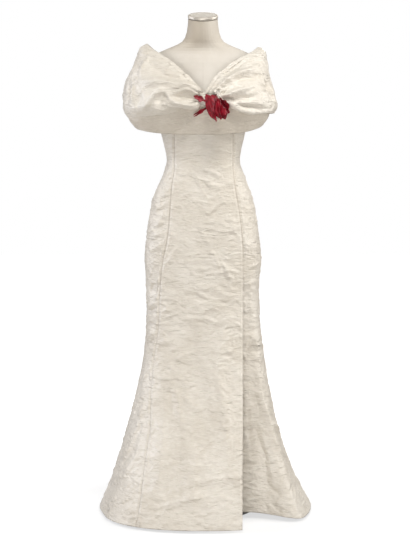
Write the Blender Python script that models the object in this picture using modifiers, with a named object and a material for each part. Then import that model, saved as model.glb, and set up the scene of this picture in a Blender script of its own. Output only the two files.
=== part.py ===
"""Wedding gown with a draped off-shoulder collar and a silk rose, on a limbless dress form.

Metres, +Z up, the front of the gown faces -Y, and the floor under the stand is z = 0.
The gown is cut in princess panels from the bust to the floor, and its front panel
laps over a deep pleat on the wearer's left.
"""

import math
from functools import partial

import bmesh
import bpy
from mathutils import Matrix, Vector

COLLECTION = "wedding_gown"

# Cloth and clearances
CLOTH = 0.002
SEAM_GAP = 0.0003
FORM_CLEARANCE = 0.0009
HEM_HEIGHT = 0.008

# Gown cross-sections, hem to bust: reach of the outline from the axis on each side
# Columns: height, left, right, front, back, square
GOWN_SECTIONS = (
    (0.000, 0.330, 0.344, 0.324, 0.352, 2.40),
    (0.075, 0.300, 0.307, 0.300, 0.330, 2.42),
    (0.178, 0.266, 0.263, 0.258, 0.288, 2.45),
    (0.281, 0.234, 0.232, 0.210, 0.243, 2.48),
    (0.383, 0.208, 0.209, 0.167, 0.199, 2.50),
    (0.485, 0.187, 0.192, 0.136, 0.163, 2.48),
    (0.587, 0.178, 0.179, 0.119, 0.141, 2.44),
    (0.688, 0.176, 0.175, 0.112, 0.134, 2.38),
    (0.789, 0.182, 0.180, 0.110, 0.137, 2.32),
    (0.864, 0.176, 0.174, 0.107, 0.132, 2.28),
    (0.939, 0.165, 0.163, 0.101, 0.118, 2.24),
    (0.989, 0.153, 0.152, 0.096, 0.107, 2.22),
    (1.039, 0.132, 0.133, 0.090, 0.097, 2.20),
    (1.070, 0.119, 0.121, 0.086, 0.091, 2.18),
    (1.101, 0.112, 0.114, 0.084, 0.088, 2.18),
    (1.138, 0.118, 0.119, 0.089, 0.091, 2.20),
    (1.175, 0.127, 0.128, 0.099, 0.096, 2.22),
    (1.225, 0.136, 0.136, 0.118, 0.102, 2.24),
    (1.260, 0.140, 0.140, 0.124, 0.105, 2.24),
    (1.300, 0.143, 0.143, 0.117, 0.104, 2.22),
)
# Princess seams: how far each lies from the centre line, seen from the front
# Columns: height, left, right
PRINCESS_SEAMS = (
    (0.000, 0.201, 0.118),
    (0.094, 0.188, 0.119),
    (0.194, 0.176, 0.120),
    (0.279, 0.163, 0.1215),
    (0.435, 0.158, 0.123),
    (0.586, 0.138, 0.124),
    (0.678, 0.135, 0.125),
    (0.776, 0.127, 0.125),
    (0.870, 0.109, 0.121),
    (0.947, 0.102, 0.112),
    (1.025, 0.0965, 0.099),
    (1.082, 0.088, 0.093),
    (1.180, 0.088, 0.093),
    (1.300, 0.088, 0.091),
)
# The deep pleat behind the front panel's free edge: how far the cloth falls back, how far
# round the outline it takes to come forward again, and how far it runs on behind the panel
# Columns: height, depth, spread, underlap
PLEAT = (
    (0.000, 0.165, 0.300, 0.080),
    (0.150, 0.116, 0.230, 0.076),
    (0.300, 0.070, 0.160, 0.068),
    (0.450, 0.038, 0.100, 0.055),
    (0.600, 0.020, 0.060, 0.042),
    (0.660, 0.013, 0.038, 0.032),
    (0.720, 0.0070, 0.034, 0.020),
    (0.770, 0.0042, 0.030, 0.010),
    (0.810, 0.0034, 0.026, 0.000),
    (0.850, 0.0000, 0.020, 0.000),
)
PLEAT_HEM_LIFT = 0.014
PLEAT_LIFT_SHARE = 0.8
PLEAT_INNER_RISE = 0.86
HEM_REACH = 0.12
# Soft flutes of the trumpet skirt, deepest at the hem and gone by the knee
# Columns: angle, width, depth, top
FLUTES = (
    (-118, 17, 0.012, 0.46),
    (-150, 15, 0.014, 0.52),
    (-178, 14, 0.012, 0.55),
    (148, 15, 0.014, 0.50),
    (116, 17, 0.011, 0.46),
    (-74, 14, 0.008, 0.40),
    (74, 12, 0.006, 0.36),
)
ROW_HEIGHTS = (
    0.0, 0.06, 0.12, 0.18, 0.24, 0.30, 0.36, 0.42, 0.48, 0.54, 0.60, 0.66, 0.72, 0.77, 0.81,
    0.85, 0.89, 0.93, 0.97, 1.005, 1.035, 1.06, 1.085, 1.11, 1.135, 1.16, 1.19, 1.225, 1.26, 1.285,
)

# Dress form above the bodice and below the hips; in between it follows the gown from inside
# Columns: height, side, front, back, square, lean, shift
FORM_BOTTOM = (
    (0.740, 0.110, 0.060, 0.080, 2.2, 0, 0.0),
    (0.745, 0.142, 0.084, 0.106, 2.2, 0, 0.0),
    (0.758, 0.154, 0.092, 0.117, 2.2, 0, 0.0),
    (0.790, 0.163, 0.097, 0.125, 2.2, 0, 0.0),
    (0.840, 0.167, 0.100, 0.127, 2.2, 0, 0.0),
)
FORM_TOP = (
    (1.320, 0.147, 0.104, 0.101, 2.2, 0, 0.0),
    (1.350, 0.158, 0.089, 0.099, 2.2, 0, 0.0),
    (1.380, 0.168, 0.074, 0.095, 2.2, 0, 0.0),
    (1.400, 0.170, 0.063, 0.088, 2.1, 0, 0.0),
    (1.415, 0.163, 0.053, 0.079, 2.0, 0, 0.001),
    (1.428, 0.146, 0.044, 0.070, 2.0, 1, 0.002),
    (1.438, 0.124, 0.040, 0.063, 2.0, 2, 0.003),
    (1.447, 0.103, 0.040, 0.060, 2.0, 3, 0.004),
    (1.456, 0.081, 0.042, 0.057, 2.0, 5, 0.004),
    (1.465, 0.065, 0.045, 0.054, 2.0, 7, 0.004),
    (1.477, 0.056, 0.047, 0.052, 2.0, 10, 0.001),
    (1.495, 0.050, 0.047, 0.048, 2.0, 13, -0.004),
    (1.515, 0.047, 0.046, 0.046, 2.0, 14, -0.009),
    (1.535, 0.0455, 0.045, 0.045, 2.0, 14, -0.014),
)
FORM_SIDES = 36
CAP_THICKNESS = 0.012
CAP_BEVEL = 0.004
CAP_RADIUS = 0.0465
CAP_SEAT_GAP = 0.0003

# Stand, hidden under the skirt
POLE_RADIUS = 0.016
BASE_RADIUS = 0.160
BASE_EDGE = 0.006
BASE_RISE = 0.013
HUB_RADIUS = 0.030
HUB_TOP = 0.075
HUB_CHAMFER = 0.008
HUB_FLARE = 0.012
BASE_CHAMFER = 0.003
SOCKET_RADIUS = 0.045
SOCKET_THICKNESS = 0.012

# Collar rails, each a closed curve round the shoulders: its reach on each side, the shape of
# its front corners, its heights, and how soon it climbs from the front to either side
# Columns: left, right, front, back, square, z_front, z_left, z_right, z_back, climb_left,
# climb_right
NECK_EDGE = (0.172, 0.169, 0.137, 0.112, 1.36, 1.304, 1.460, 1.449, 1.378, 1.10, 0.91)
SHOULDER = (0.206, 0.197, 0.148, 0.126, 1.75, 1.299, 1.418, 1.415, 1.350, 1.05, 1.05)
UPPER_ARM = (0.238, 0.213, 0.158, 0.138, 2.10, 1.290, 1.338, 1.338, 1.312, 0.95, 0.95)
WIDEST = (0.2475, 0.2275, 0.158, 0.143, 2.25, 1.278, 1.276, 1.274, 1.272, 0.90, 0.90)
ROLL = (0.2435, 0.222, 0.147, 0.140, 2.30, 1.264, 1.236, 1.246, 1.238, 1.00, 1.00)
BAND_TOP = (0.231, 0.206, 0.1300, 0.130, 2.30, 1.296, 1.254, 1.264, 1.254, 1.60, 1.60)
BAND_FOOT = (0.205, 0.180, 0.1030, 0.1005, 2.30, 1.181, 1.197, 1.204, 1.190, 3.00, 3.00)
# The left half runs on a little past the centre, where the rose hides the two ends
DRAPE_SPANS = {"left": (-180.0, 2.8), "right": (3.2, 180.0)}
DRAPE_RAILS = (NECK_EDGE, SHOULDER, UPPER_ARM, WIDEST, ROLL)
BACK_SQUARE = 2.2
BACK_CLIMB = 1.6
TUCK_RISE = 0.005
TUCK_CLEARANCE = 0.0006
BAND_BULGE = 0.010
BAND_CLEARANCE = 0.0021
# On the left the band fills out under the drape and runs into it; on the right it hangs
# back, and the drape's lower edge climbs towards the rose
LEFT_FULLNESS = 0.013
FULLNESS_START = 0.2
FULLNESS_TURN = 34
RIGHT_CLIMB = 0.024
CLIMB_TURN = 11
CLIMB_SPREAD = 12
CLIMB_START = 6
RAIL_CLIMBS = (0.0, 0.1, 0.35, 0.7, 1.0)
PINCH_DEPTH = 0.013
PINCH_WIDTH = 20
SEAM_FACING = 9
# A gather starts narrow and widens outwards, and all of them die away before the tuck
FOLD_NARROW = 0.55
FOLD_WIDENING = 0.75
FOLD_SWELL = 0.7
FOLD_SETTLE = 0.14
# Gathers that fan out from the rose: where each starts and ends across the drape (0 at the
# neck edge, 1 at the tuck), the angles round the shoulder that it spans, and its height
# Columns: start, end, near, far, width, height
LEFT_FOLDS = (
    (0.10, 0.06, 6, 96, 0.070, 0.006),
    (0.26, 0.24, 14, 66, 0.085, -0.013),
    (0.42, 0.44, 6, 78, 0.080, 0.011),
    (0.57, 0.60, 8, 52, 0.075, -0.015),
    (0.70, 0.82, 4, 74, 0.075, 0.009),
    (0.46, 0.86, 50, 92, 0.080, -0.009),
    (0.30, 0.70, 74, 118, 0.090, 0.007),
    (0.22, 0.60, 96, 150, 0.110, -0.007),
    (0.60, 0.40, 120, 172, 0.110, 0.006),
)
RIGHT_FOLDS = (
    (0.09, 0.07, 5, 92, 0.065, 0.005),
    (0.24, 0.30, 8, 84, 0.070, -0.009),
    (0.40, 0.46, 6, 60, 0.080, 0.010),
    (0.58, 0.62, 12, 70, 0.110, -0.014),
    (0.82, 0.80, 4, 80, 0.080, 0.010),
    (0.34, 0.72, 62, 104, 0.090, 0.007),
    (0.26, 0.64, 92, 146, 0.110, -0.007),
    (0.60, 0.38, 118, 170, 0.110, 0.006),
)

# Silk rose pinned at the centre front
ROSE_BASE = Vector((0.0225, -0.1605, 1.2950))
ROSE_AXIS = Vector((0.42, -0.08, -0.90)).normalized()
ROSE_FLATNESS = 0.8
ROSE_CALYX = 0.78
CALYX_REACH = 0.62
PETAL_FLARE_START = 0.55
PETAL_NARROWING = 0.25
PETAL_ROUNDING = 0.16
LEAF_FOLD = 0.005
LEAF_TIP = 1.1
LEAF_TAPER = 1.5
PETAL_THICKNESS = 0.0012
# Columns: turn, half_width, radius, length, flare, ruffle
PETALS = (
    (20, 130, 0.0085, 0.054, 0.0000, 0.0004),
    (200, 120, 0.0114, 0.059, 0.0004, 0.0005),
    (110, 110, 0.0143, 0.066, 0.0010, 0.0006),
    (320, 105, 0.0172, 0.074, 0.0018, 0.0007),
    (200, 100, 0.0201, 0.076, 0.0028, 0.0008),
    (60, 100, 0.0230, 0.075, 0.0040, 0.0009),
)
# Two ends of the same silk, from behind the rose to the viewer's left
# Columns: start, tip, width, lift, waist
LEAVES = (
    ((0.0130, -0.1482, 1.2800), (-0.0280, -0.1475, 1.2975), 0.0125, 0.003, 0.30),
    ((0.0150, -0.1541, 1.2640), (-0.0300, -0.1400, 1.2365), 0.0080, 0.006, 0.45),
)

LINEN = ("linen_form", (0.83, 0.79, 0.71), 0.90, 0.0)
NICKEL = ("nickel", (0.62, 0.57, 0.50), 0.22, 1.0)
STEEL = ("painted_steel", (0.80, 0.79, 0.76), 0.45, 0.3)
SILK = ("ivory_silk", (0.88, 0.84, 0.76), 0.45, 0.0)
ROSE_SILK = ("red_silk", (0.55, 0.02, 0.06), 0.50, 0.0)


def smoothstep(x):
    """0 below 0, 1 above 1, and an even S between."""
    x = min(1.0, max(0.0, x))
    return x * x * (3 - 2 * x)


def read_table(rows, height):
    """Each column of a table at a height, on smooth curves that never overshoot its rows."""
    heights = [row[0] for row in rows]
    height = min(max(height, heights[0]), heights[-1])
    k = 0
    while k < len(rows) - 2 and height > heights[k + 1]:
        k += 1
    span = heights[k + 1] - heights[k]
    t = (height - heights[k]) / span
    values = []
    for column in range(1, len(rows[0])):
        ends = [rows[k][column], rows[k + 1][column]]
        slopes = []
        for at in (k, k + 1):
            before, after = max(at - 1, 0), min(at + 1, len(rows) - 1)
            run = heights[after] - heights[before]
            slope = (rows[after][column] - rows[before][column]) / run * span
            rise_in = rows[at][column] - rows[before][column]
            rise_out = rows[after][column] - rows[at][column]
            slopes.append(slope if rise_in * rise_out > 0 or at in (0, len(rows) - 1) else 0.0)
        limit = 3 * (ends[1] - ends[0])
        slopes = [min(max(s, min(0, limit)), max(0, limit)) for s in slopes]
        a = 2 * t**3 - 3 * t**2 + 1
        value = a * ends[0] + (1 - a) * ends[1]
        value += (t**3 - 2 * t**2 + t) * slopes[0] + (t**3 - t**2) * slopes[1]
        values.append(value)
    return values


def outline(angle, left, right, front, back, square):
    """A point of a rounded-square outline; angle 0 is the front, positive to the right."""
    s, c = math.sin(angle), math.cos(angle)
    x = (right if s > 0 else left) * abs(s) ** (2 / square)
    y = (front if c > 0 else back) * abs(c) ** (2 / square)
    return Vector((math.copysign(x, s), -math.copysign(y, c), 0.0))


def turn_between(angle, centre):
    """The signed turn in degrees from a centre angle, taken the short way round."""
    return (math.degrees(angle) - centre + 180) % 360 - 180


def flute_depth(angle, height):
    """How far the skirt's soft flutes push the outline in at this place."""
    total = 0.0
    for centre, width, depth, top in FLUTES:
        fade = smoothstep((top - height) / top)
        total += depth * fade * math.exp(-((turn_between(angle, centre) / width) ** 2))
    return total


def gown_point(angle, height):
    left, right, front, back, square = read_table(GOWN_SECTIONS, height)
    point = outline(angle, left, right, front, back, square)
    inward = flute_depth(angle, height)
    point *= 1 - inward / max(point.length, 0.05)
    point.z = height
    return point


def seam_angle(side, height):
    """The angle at which a princess seam lies, from its distance to the centre line."""
    left, right, _, _, square = read_table(GOWN_SECTIONS, height)
    seam_left, seam_right = read_table(PRINCESS_SEAMS, height)
    if side == "left":
        return -math.asin((seam_left / left) ** (square / 2))
    return math.asin((seam_right / right) ** (square / 2))


def arc_to_angle(angle, height):
    """Angle per metre of outline at this place."""
    step = 0.01
    run = gown_point(angle + step, height) - gown_point(angle - step, height)
    return 2 * step / max(run.length, 1e-6)


def pleated_point(share, height):
    """The side front panel on the pleat's side: 0 is its inner end, 1 the side seam."""
    depth, spread, underlap = read_table(PLEAT, height)
    edge = seam_angle("right", height)
    rate = arc_to_angle(edge, height)
    start = edge - underlap * rate
    angle = start + (math.pi / 2 - start) * share
    point = gown_point(angle, height)
    along = (angle - edge) / rate
    if along > 0:
        fall = depth * (1 - smoothstep(along / spread))
    else:
        near = CLOTH + SEAM_GAP * 4
        fall = depth - (depth - near) * PLEAT_INNER_RISE * smoothstep(-along / max(underlap, 0.001))
        fall = max(fall, min(depth, near))
    point.y += fall
    return point


def hem_fade(height):
    return 1 - smoothstep(height / HEM_REACH)


def pleat_hem_lift(share, height):
    """The underlay's hem clears the floor, and rises inside the pleat."""
    return (HEM_HEIGHT + PLEAT_HEM_LIFT * (1 - smoothstep(share / PLEAT_LIFT_SHARE))) * hem_fade(height)


def new_object(name, mesh, material):
    mesh.materials.append(material)
    made = bpy.data.objects.new(name, mesh)
    bpy.data.collections[COLLECTION].objects.link(made)
    return made


def material_from(spec):
    name, colour, roughness, metallic = spec
    material = bpy.data.materials.new(name)
    material.use_nodes = True
    shader = material.node_tree.nodes["Principled BSDF"]
    shader.inputs["Base Color"].default_value = (*colour, 1.0)
    shader.inputs["Roughness"].default_value = roughness
    shader.inputs["Metallic"].default_value = metallic
    return material


def cloth_wall(name, point, columns, rows, material, thickness=CLOTH, trim=True):
    """An open grid laid on a surface and thickened inwards.

    Each seam is trimmed by half its gap, and by what the wall's cut edge leans past it.
    """
    bm = bmesh.new()
    bmesh.ops.create_grid(bm, x_segments=columns, y_segments=rows, size=1.0)
    bm.verts.ensure_lookup_table()
    grid = {}
    for vertex in bm.verts:
        i = round((vertex.co.x + 1) / 2 * columns)
        j = round((vertex.co.y + 1) / 2 * rows)
        grid[i, j] = vertex
        vertex.co = point(i / columns, j / rows)
    if trim:
        for j in range(rows + 1):
            for edge, inner, third in ((0, 1, 2), (columns, columns - 1, columns - 2)):
                pull = grid[inner, j].co - grid[edge, j].co
                lean = pull.angle(grid[third, j].co - grid[inner, j].co) / 2
                grid[edge, j].co += pull.normalized() * (SEAM_GAP / 2 + thickness * math.sin(lean))
    mesh = bpy.data.meshes.new(name)
    bm.to_mesh(mesh)
    bm.free()
    made = new_object(name, mesh, material)
    solidify = made.modifiers.new("cloth", "SOLIDIFY")
    solidify.thickness = thickness
    solidify.offset = -1
    mesh.shade_smooth()
    return made


def row_height(share):
    """The height of a share of the way up the shared list of rows."""
    at = share * (len(ROW_HEIGHTS) - 1)
    low = min(int(at + 1e-6), len(ROW_HEIGHTS) - 2)
    return ROW_HEIGHTS[low] + (ROW_HEIGHTS[low + 1] - ROW_HEIGHTS[low]) * (at - low)


def gown_panel(name, start, end, columns, material):
    """A gown panel between two seams, each a function of height that gives an angle."""

    def point(across, up):
        height = row_height(up)
        first, last = start(height), end(height)
        angle = first + (last - first) * across
        place = gown_point(angle, height)
        place.z += HEM_HEIGHT * hem_fade(height)
        return place

    return cloth_wall(name, point, columns, len(ROW_HEIGHTS) - 1, material)


def build_gown(silk):
    side = math.pi / 2

    def left_seam(height):
        return seam_angle("left", height)

    def right_seam(height):
        return seam_angle("right", height)

    gown_panel("front_panel", left_seam, right_seam, 12, silk)
    gown_panel("side_front_left", lambda h: -side, left_seam, 7, silk)
    gown_panel("back_left", lambda h: -math.pi, lambda h: -side, 11, silk)
    gown_panel("back_right", lambda h: side, lambda h: math.pi, 11, silk)

    def pleated(across, up):
        height = row_height(up)
        place = pleated_point(across, height)
        place.z += pleat_hem_lift(across, height)
        return place

    cloth_wall("side_front_right", pleated, 14, len(ROW_HEIGHTS) - 1, silk)


def rail_point(rail, angle):
    left, right, front, back, square, z_front, z_left, z_right, z_back, climb_left, climb_right = rail
    ahead, on_right = math.cos(angle) > 0, math.sin(angle) > 0
    point = outline(angle, left, right, front, back, square if ahead else BACK_SQUARE)
    climb = (climb_right if on_right else climb_left) if ahead else BACK_CLIMB
    middle = z_front if ahead else z_back
    point.z = middle + ((z_right if on_right else z_left) - middle) * abs(math.sin(angle)) ** climb
    return point


def gown_reach(point):
    """How far the gown's outline lies from the axis, towards a point and at its height."""
    left, right, front, back, square = read_table(GOWN_SECTIONS, point.z)
    length = math.hypot(point.x, point.y)
    x = abs(point.x) / length / (right if point.x > 0 else left)
    y = abs(point.y) / length / (front if point.y < 0 else back)
    return (x**square + y**square) ** (-1 / square)


def band_point(angle, down):
    """The band under the drape: 0 at its top edge, 1 at its foot."""
    top, foot = rail_point(BAND_TOP, angle), rail_point(BAND_FOOT, angle)
    point = top.lerp(foot, down)
    outward = Vector((point.x, point.y, 0)).normalized()
    point += outward * BAND_BULGE * math.sin(math.pi * down) * math.sin(angle) ** 2
    if angle < 0:
        turn = -math.degrees(angle)
        full = smoothstep(turn / FULLNESS_TURN) * smoothstep((180 - turn) / FULLNESS_TURN)
        swell = math.sin(math.pi * (FULLNESS_START + (1 - FULLNESS_START) * down))
        point += outward * LEFT_FULLNESS * full * abs(math.cos(angle)) * swell
    short = gown_reach(point) + CLOTH + BAND_CLEARANCE - math.hypot(point.x, point.y)
    return point + outward * max(short, 0.0)


def spline(points, t):
    """A smooth curve through the points, at a share t of the way along it."""
    at = t * (len(points) - 1)
    k = min(int(at), len(points) - 2)
    f = at - k
    a, b = points[max(k - 1, 0)], points[k]
    c, d = points[k + 1], points[min(k + 2, len(points) - 1)]
    bend = 2 * a - 5 * b + 4 * c - d
    twist = 3 * b - a - 3 * c + d
    return (2 * b + (c - a) * f + bend * f**2 + twist * f**3) / 2


def fold_height(turn, down, folds):
    """The drape's gathers at a turn from the centre front and a share down the drape."""
    total = 0.0
    for start, end, near, far, width, height in folds:
        along = (turn - near) / (far - near)
        if not 0 < along < 1:
            continue
        centre = start + (end - start) * along
        spread = width * (FOLD_NARROW + FOLD_WIDENING * along)
        swell = math.sin(math.pi * along) ** FOLD_SWELL
        total += height * swell * math.exp(-(((down - centre) / spread) ** 2))
    return total


def drape_base(side, angle, down):
    points = [rail_point(rail, angle) for rail in DRAPE_RAILS]
    if side == "right":
        turn = math.degrees(angle)
        climb = RIGHT_CLIMB * math.exp(-(((turn - CLIMB_TURN) / CLIMB_SPREAD) ** 2))
        climb *= smoothstep((turn - DRAPE_SPANS["left"][1]) / CLIMB_START)
        for point, share in zip(points, RAIL_CLIMBS):
            point.z += climb * share
    top, foot = rail_point(BAND_TOP, angle), rail_point(BAND_FOOT, angle)
    share = (top.z - points[-1].z - TUCK_RISE) / (top.z - foot.z)
    tuck = band_point(angle, max(share, 0.0))
    outward = Vector((tuck.x, tuck.y, 0)).normalized()
    points.append(tuck + outward * (CLOTH + TUCK_CLEARANCE))
    return spline(points, down)


def drape_normal(side, angle, down):
    """The way out of the drape, turned to face straight forward or back at its two seams."""
    step = 0.004
    round_it = drape_base(side, angle + step, down) - drape_base(side, angle - step, down)
    low, high = max(down - step, 0), min(down + step, 1)
    downwards = drape_base(side, angle, high) - drape_base(side, angle, low)
    normal = downwards.cross(round_it).normalized()
    turn = abs(math.degrees(angle))
    normal.x *= smoothstep(min(turn, 180 - turn) / SEAM_FACING)
    return normal.normalized()


def drape_point(side, angle, down):
    """The draped collar from its neck edge, over the shoulder, to its tuck on the band."""
    turn = abs(math.degrees(angle))
    folds = RIGHT_FOLDS if side == "right" else LEFT_FOLDS
    pinch = PINCH_DEPTH * math.exp(-((turn / PINCH_WIDTH) ** 2)) * math.sin(math.pi * down)
    settle = smoothstep((1 - down) / FOLD_SETTLE)
    out = fold_height(turn, down, folds) * settle - pinch
    return drape_base(side, angle, down) + drape_normal(side, angle, down) * out


def build_collar(silk):
    for side, (first, last) in DRAPE_SPANS.items():
        start, span = math.radians(first), math.radians(last - first)

        def half(across, up, side=side, start=start, span=span):
            return drape_point(side, start + span * across, 1 - up)

        cloth_wall(f"collar_drape_{side}", half, 26, 14, silk)

    full = math.pi

    def band(first):
        def point(across, up):
            angle = first + full * across
            return band_point(angle if angle <= full else angle - 2 * full, 1 - up)

        return point

    cloth_wall("collar_band_front", band(-full / 2), 28, 3, silk)
    cloth_wall("collar_band_back", band(full / 2), 20, 3, silk)


def form_rows():
    """The dress form's rings: the given ones, and the gown's sections taken in between."""
    inset = CLOTH + FORM_CLEARANCE
    rows = list(FORM_BOTTOM)
    for height in ROW_HEIGHTS:
        if FORM_BOTTOM[-1][0] < height <= ROW_HEIGHTS[-1]:
            left, right, front, back, square = read_table(GOWN_SECTIONS, height)
            side = min(left, right) - inset
            rows.append((height, side, front - inset, back - inset, square, 0, 0.0))
    return rows + list(FORM_TOP)


def form_ring(row):
    height, side, front, back, square, lean, shift = row
    tilt = Matrix.Rotation(math.radians(lean), 3, "X")
    ring = []
    for k in range(FORM_SIDES):
        flat = outline(2 * math.pi * k / FORM_SIDES, side, side, front, back, square)
        ring.append(tilt @ flat + Vector((0, shift, height)))
    return ring


def build_form(linen, nickel):
    rings = [form_ring(row) for row in form_rows()]
    bm = bmesh.new()
    loops = [[bm.verts.new(p) for p in ring] for ring in rings]
    for lower, upper in zip(loops, loops[1:]):
        for k in range(FORM_SIDES):
            after = (k + 1) % FORM_SIDES
            bm.faces.new((lower[k], lower[after], upper[after], upper[k]))
    bm.faces.new(list(reversed(loops[0])))
    bm.faces.new(loops[-1])
    mesh = bpy.data.meshes.new("form_torso")
    bm.to_mesh(mesh)
    bm.free()
    new_object("form_torso", mesh, linen)
    mesh.shade_smooth()

    height, _, _, _, _, lean, shift = FORM_TOP[-1]
    tilt = Matrix.Rotation(math.radians(lean), 4, "X")
    lift = CAP_THICKNESS / 2 + CAP_SEAT_GAP
    centre = Vector((0, shift, height)) + tilt.to_3x3() @ Vector((0, 0, lift))
    bpy.ops.mesh.primitive_cylinder_add(vertices=40, radius=CAP_RADIUS, depth=CAP_THICKNESS)
    cap = bpy.context.object
    cap.name = "neck_cap"
    cap.matrix_world = Matrix.Translation(centre) @ tilt
    bevel = cap.modifiers.new("rim", "BEVEL")
    bevel.width = CAP_BEVEL
    bevel.segments = 2
    bevel.limit_method = "ANGLE"
    adopt(cap, nickel)


def adopt(made, material):
    """Moves an object made by an operator into the gown's collection and gives it its material."""
    made.data.materials.append(material)
    for collection in list(made.users_collection):
        collection.objects.unlink(made)
    bpy.data.collections[COLLECTION].objects.link(made)


def turned(name, profile, sides, material):
    """A solid turned round the axis from a profile that runs down its outer side."""
    mesh = bpy.data.meshes.new(name)
    points = [(radius, 0, height) for radius, height in profile]
    mesh.from_pydata(points, [(k, k + 1) for k in range(len(points) - 1)], [])
    made = new_object(name, mesh, material)
    screw = made.modifiers.new("turn", "SCREW")
    screw.steps = screw.render_steps = sides
    screw.use_merge_vertices = True
    screw.merge_threshold = 0.0001
    return made


def upright_cylinder(name, radius, bottom, top, sides, material):
    middle = (0, 0, (bottom + top) / 2)
    bpy.ops.mesh.primitive_cylinder_add(
        vertices=sides, radius=radius, depth=top - bottom, location=middle
    )
    made = bpy.context.object
    made.name = name
    adopt(made, material)


def build_stand(steel):
    bottom = FORM_BOTTOM[0][0]
    profile = (
        (0.0, HUB_TOP),
        (HUB_RADIUS - HUB_CHAMFER, HUB_TOP),
        (HUB_RADIUS, HUB_TOP - HUB_CHAMFER),
        (HUB_RADIUS, BASE_RISE + HUB_FLARE),
        (HUB_RADIUS + HUB_FLARE, BASE_RISE),
        (BASE_RADIUS - BASE_EDGE, BASE_EDGE + BASE_CHAMFER),
        (BASE_RADIUS, BASE_EDGE),
        (BASE_RADIUS, 0.0),
        (0.0, 0.0),
    )
    turned("stand_base", profile, 40, steel)

    socket_bottom = bottom - SEAM_GAP - SOCKET_THICKNESS
    pole_bottom, pole_top = HUB_TOP + SEAM_GAP, socket_bottom - SEAM_GAP
    upright_cylinder("stand_pole", POLE_RADIUS, pole_bottom, pole_top, 24, steel)
    upright_cylinder("stand_socket", SOCKET_RADIUS, socket_bottom, bottom - SEAM_GAP, 32, steel)


def rose_frame():
    """Axes of the rose: two across it and one along it, from calyx to mouth."""
    across = ROSE_AXIS.cross(Vector((0, 0, 1))).normalized()
    return across, ROSE_AXIS.cross(across).normalized(), ROSE_AXIS


def petal_point(petal, across, up):
    turn, half_width, radius, length, flare, ruffle = petal
    first, second, axis = rose_frame()
    sideways = 2 * across - 1
    wrap = 1 - PETAL_NARROWING * (2 * up - 1) ** 2
    angle = math.radians(turn + half_width * sideways * wrap)
    swell = math.sin(math.pi / 2 * min(1.0, up / CALYX_REACH))
    out = radius * (ROSE_CALYX + (1 - ROSE_CALYX) * swell)
    out += flare * smoothstep((up - PETAL_FLARE_START) / (1 - PETAL_FLARE_START))
    out += ruffle * up * math.sin(3 * math.pi * across + turn)
    along = length * up * (1 - PETAL_ROUNDING * sideways**2)
    direction = first * math.cos(angle) * ROSE_FLATNESS + second * math.sin(angle)
    return ROSE_BASE + axis * along + direction * out


def leaf_point(leaf, across, up):
    """A ribbon end from behind the rose to its tip, folded out along its middle."""
    start, tip, width, lift, waist = leaf
    start, tip = Vector(start), Vector(tip)
    side = (tip - start).cross(Vector((0, -1, 0))).normalized()
    shape = waist + (1 - waist) * math.sin(math.pi * smoothstep(up / LEAF_TIP)) ** LEAF_TAPER
    out = lift * math.sin(math.pi * up) + abs(across - 0.5) * LEAF_FOLD * shape
    return start.lerp(tip, up) + side * width * shape * (across - 0.5) + Vector((0, -out, 0))


def build_rose(red):
    for number, petal in enumerate(PETALS, 1):
        place = partial(petal_point, petal)
        cloth_wall(f"rose_petal_{number}", place, 8, 5, red, PETAL_THICKNESS, trim=False)

    for number, leaf in enumerate(LEAVES, 1):
        place = partial(leaf_point, leaf)
        cloth_wall(f"rose_leaf_{number}", place, 4, 7, red, PETAL_THICKNESS, trim=False)


def main():
    for old in list(bpy.data.objects):
        bpy.data.objects.remove(old)
    collection = bpy.data.collections.new(COLLECTION)
    bpy.context.scene.collection.children.link(collection)
    silk = material_from(SILK)
    build_gown(silk)
    build_collar(silk)
    build_form(material_from(LINEN), material_from(NICKEL))
    build_stand(material_from(STEEL))
    build_rose(material_from(ROSE_SILK))


main()
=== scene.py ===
"""Looks of the wedding gown with a draped collar and a silk rose, on its dress form.

Every shell of cloth is worked out from the same named sizes as the solid that it covers,
and then creased. Metres, +Z up, the front faces -Y.
"""

import math

import bpy
import numpy as np
from mathutils import Matrix, Vector


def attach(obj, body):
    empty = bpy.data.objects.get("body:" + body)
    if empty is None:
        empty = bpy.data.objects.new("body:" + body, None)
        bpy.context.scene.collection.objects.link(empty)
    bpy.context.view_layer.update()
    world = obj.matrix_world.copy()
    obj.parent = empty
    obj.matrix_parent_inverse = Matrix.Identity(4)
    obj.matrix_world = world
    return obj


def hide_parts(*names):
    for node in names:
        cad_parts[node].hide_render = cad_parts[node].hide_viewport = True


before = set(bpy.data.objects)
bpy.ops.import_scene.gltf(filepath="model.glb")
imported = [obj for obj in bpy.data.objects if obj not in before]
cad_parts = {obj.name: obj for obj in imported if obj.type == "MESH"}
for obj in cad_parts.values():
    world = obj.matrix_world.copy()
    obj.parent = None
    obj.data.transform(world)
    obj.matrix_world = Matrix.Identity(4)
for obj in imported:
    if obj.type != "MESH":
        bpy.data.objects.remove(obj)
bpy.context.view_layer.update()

# Sizes shared with the solids
HEM_HEIGHT = 0.008
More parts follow.
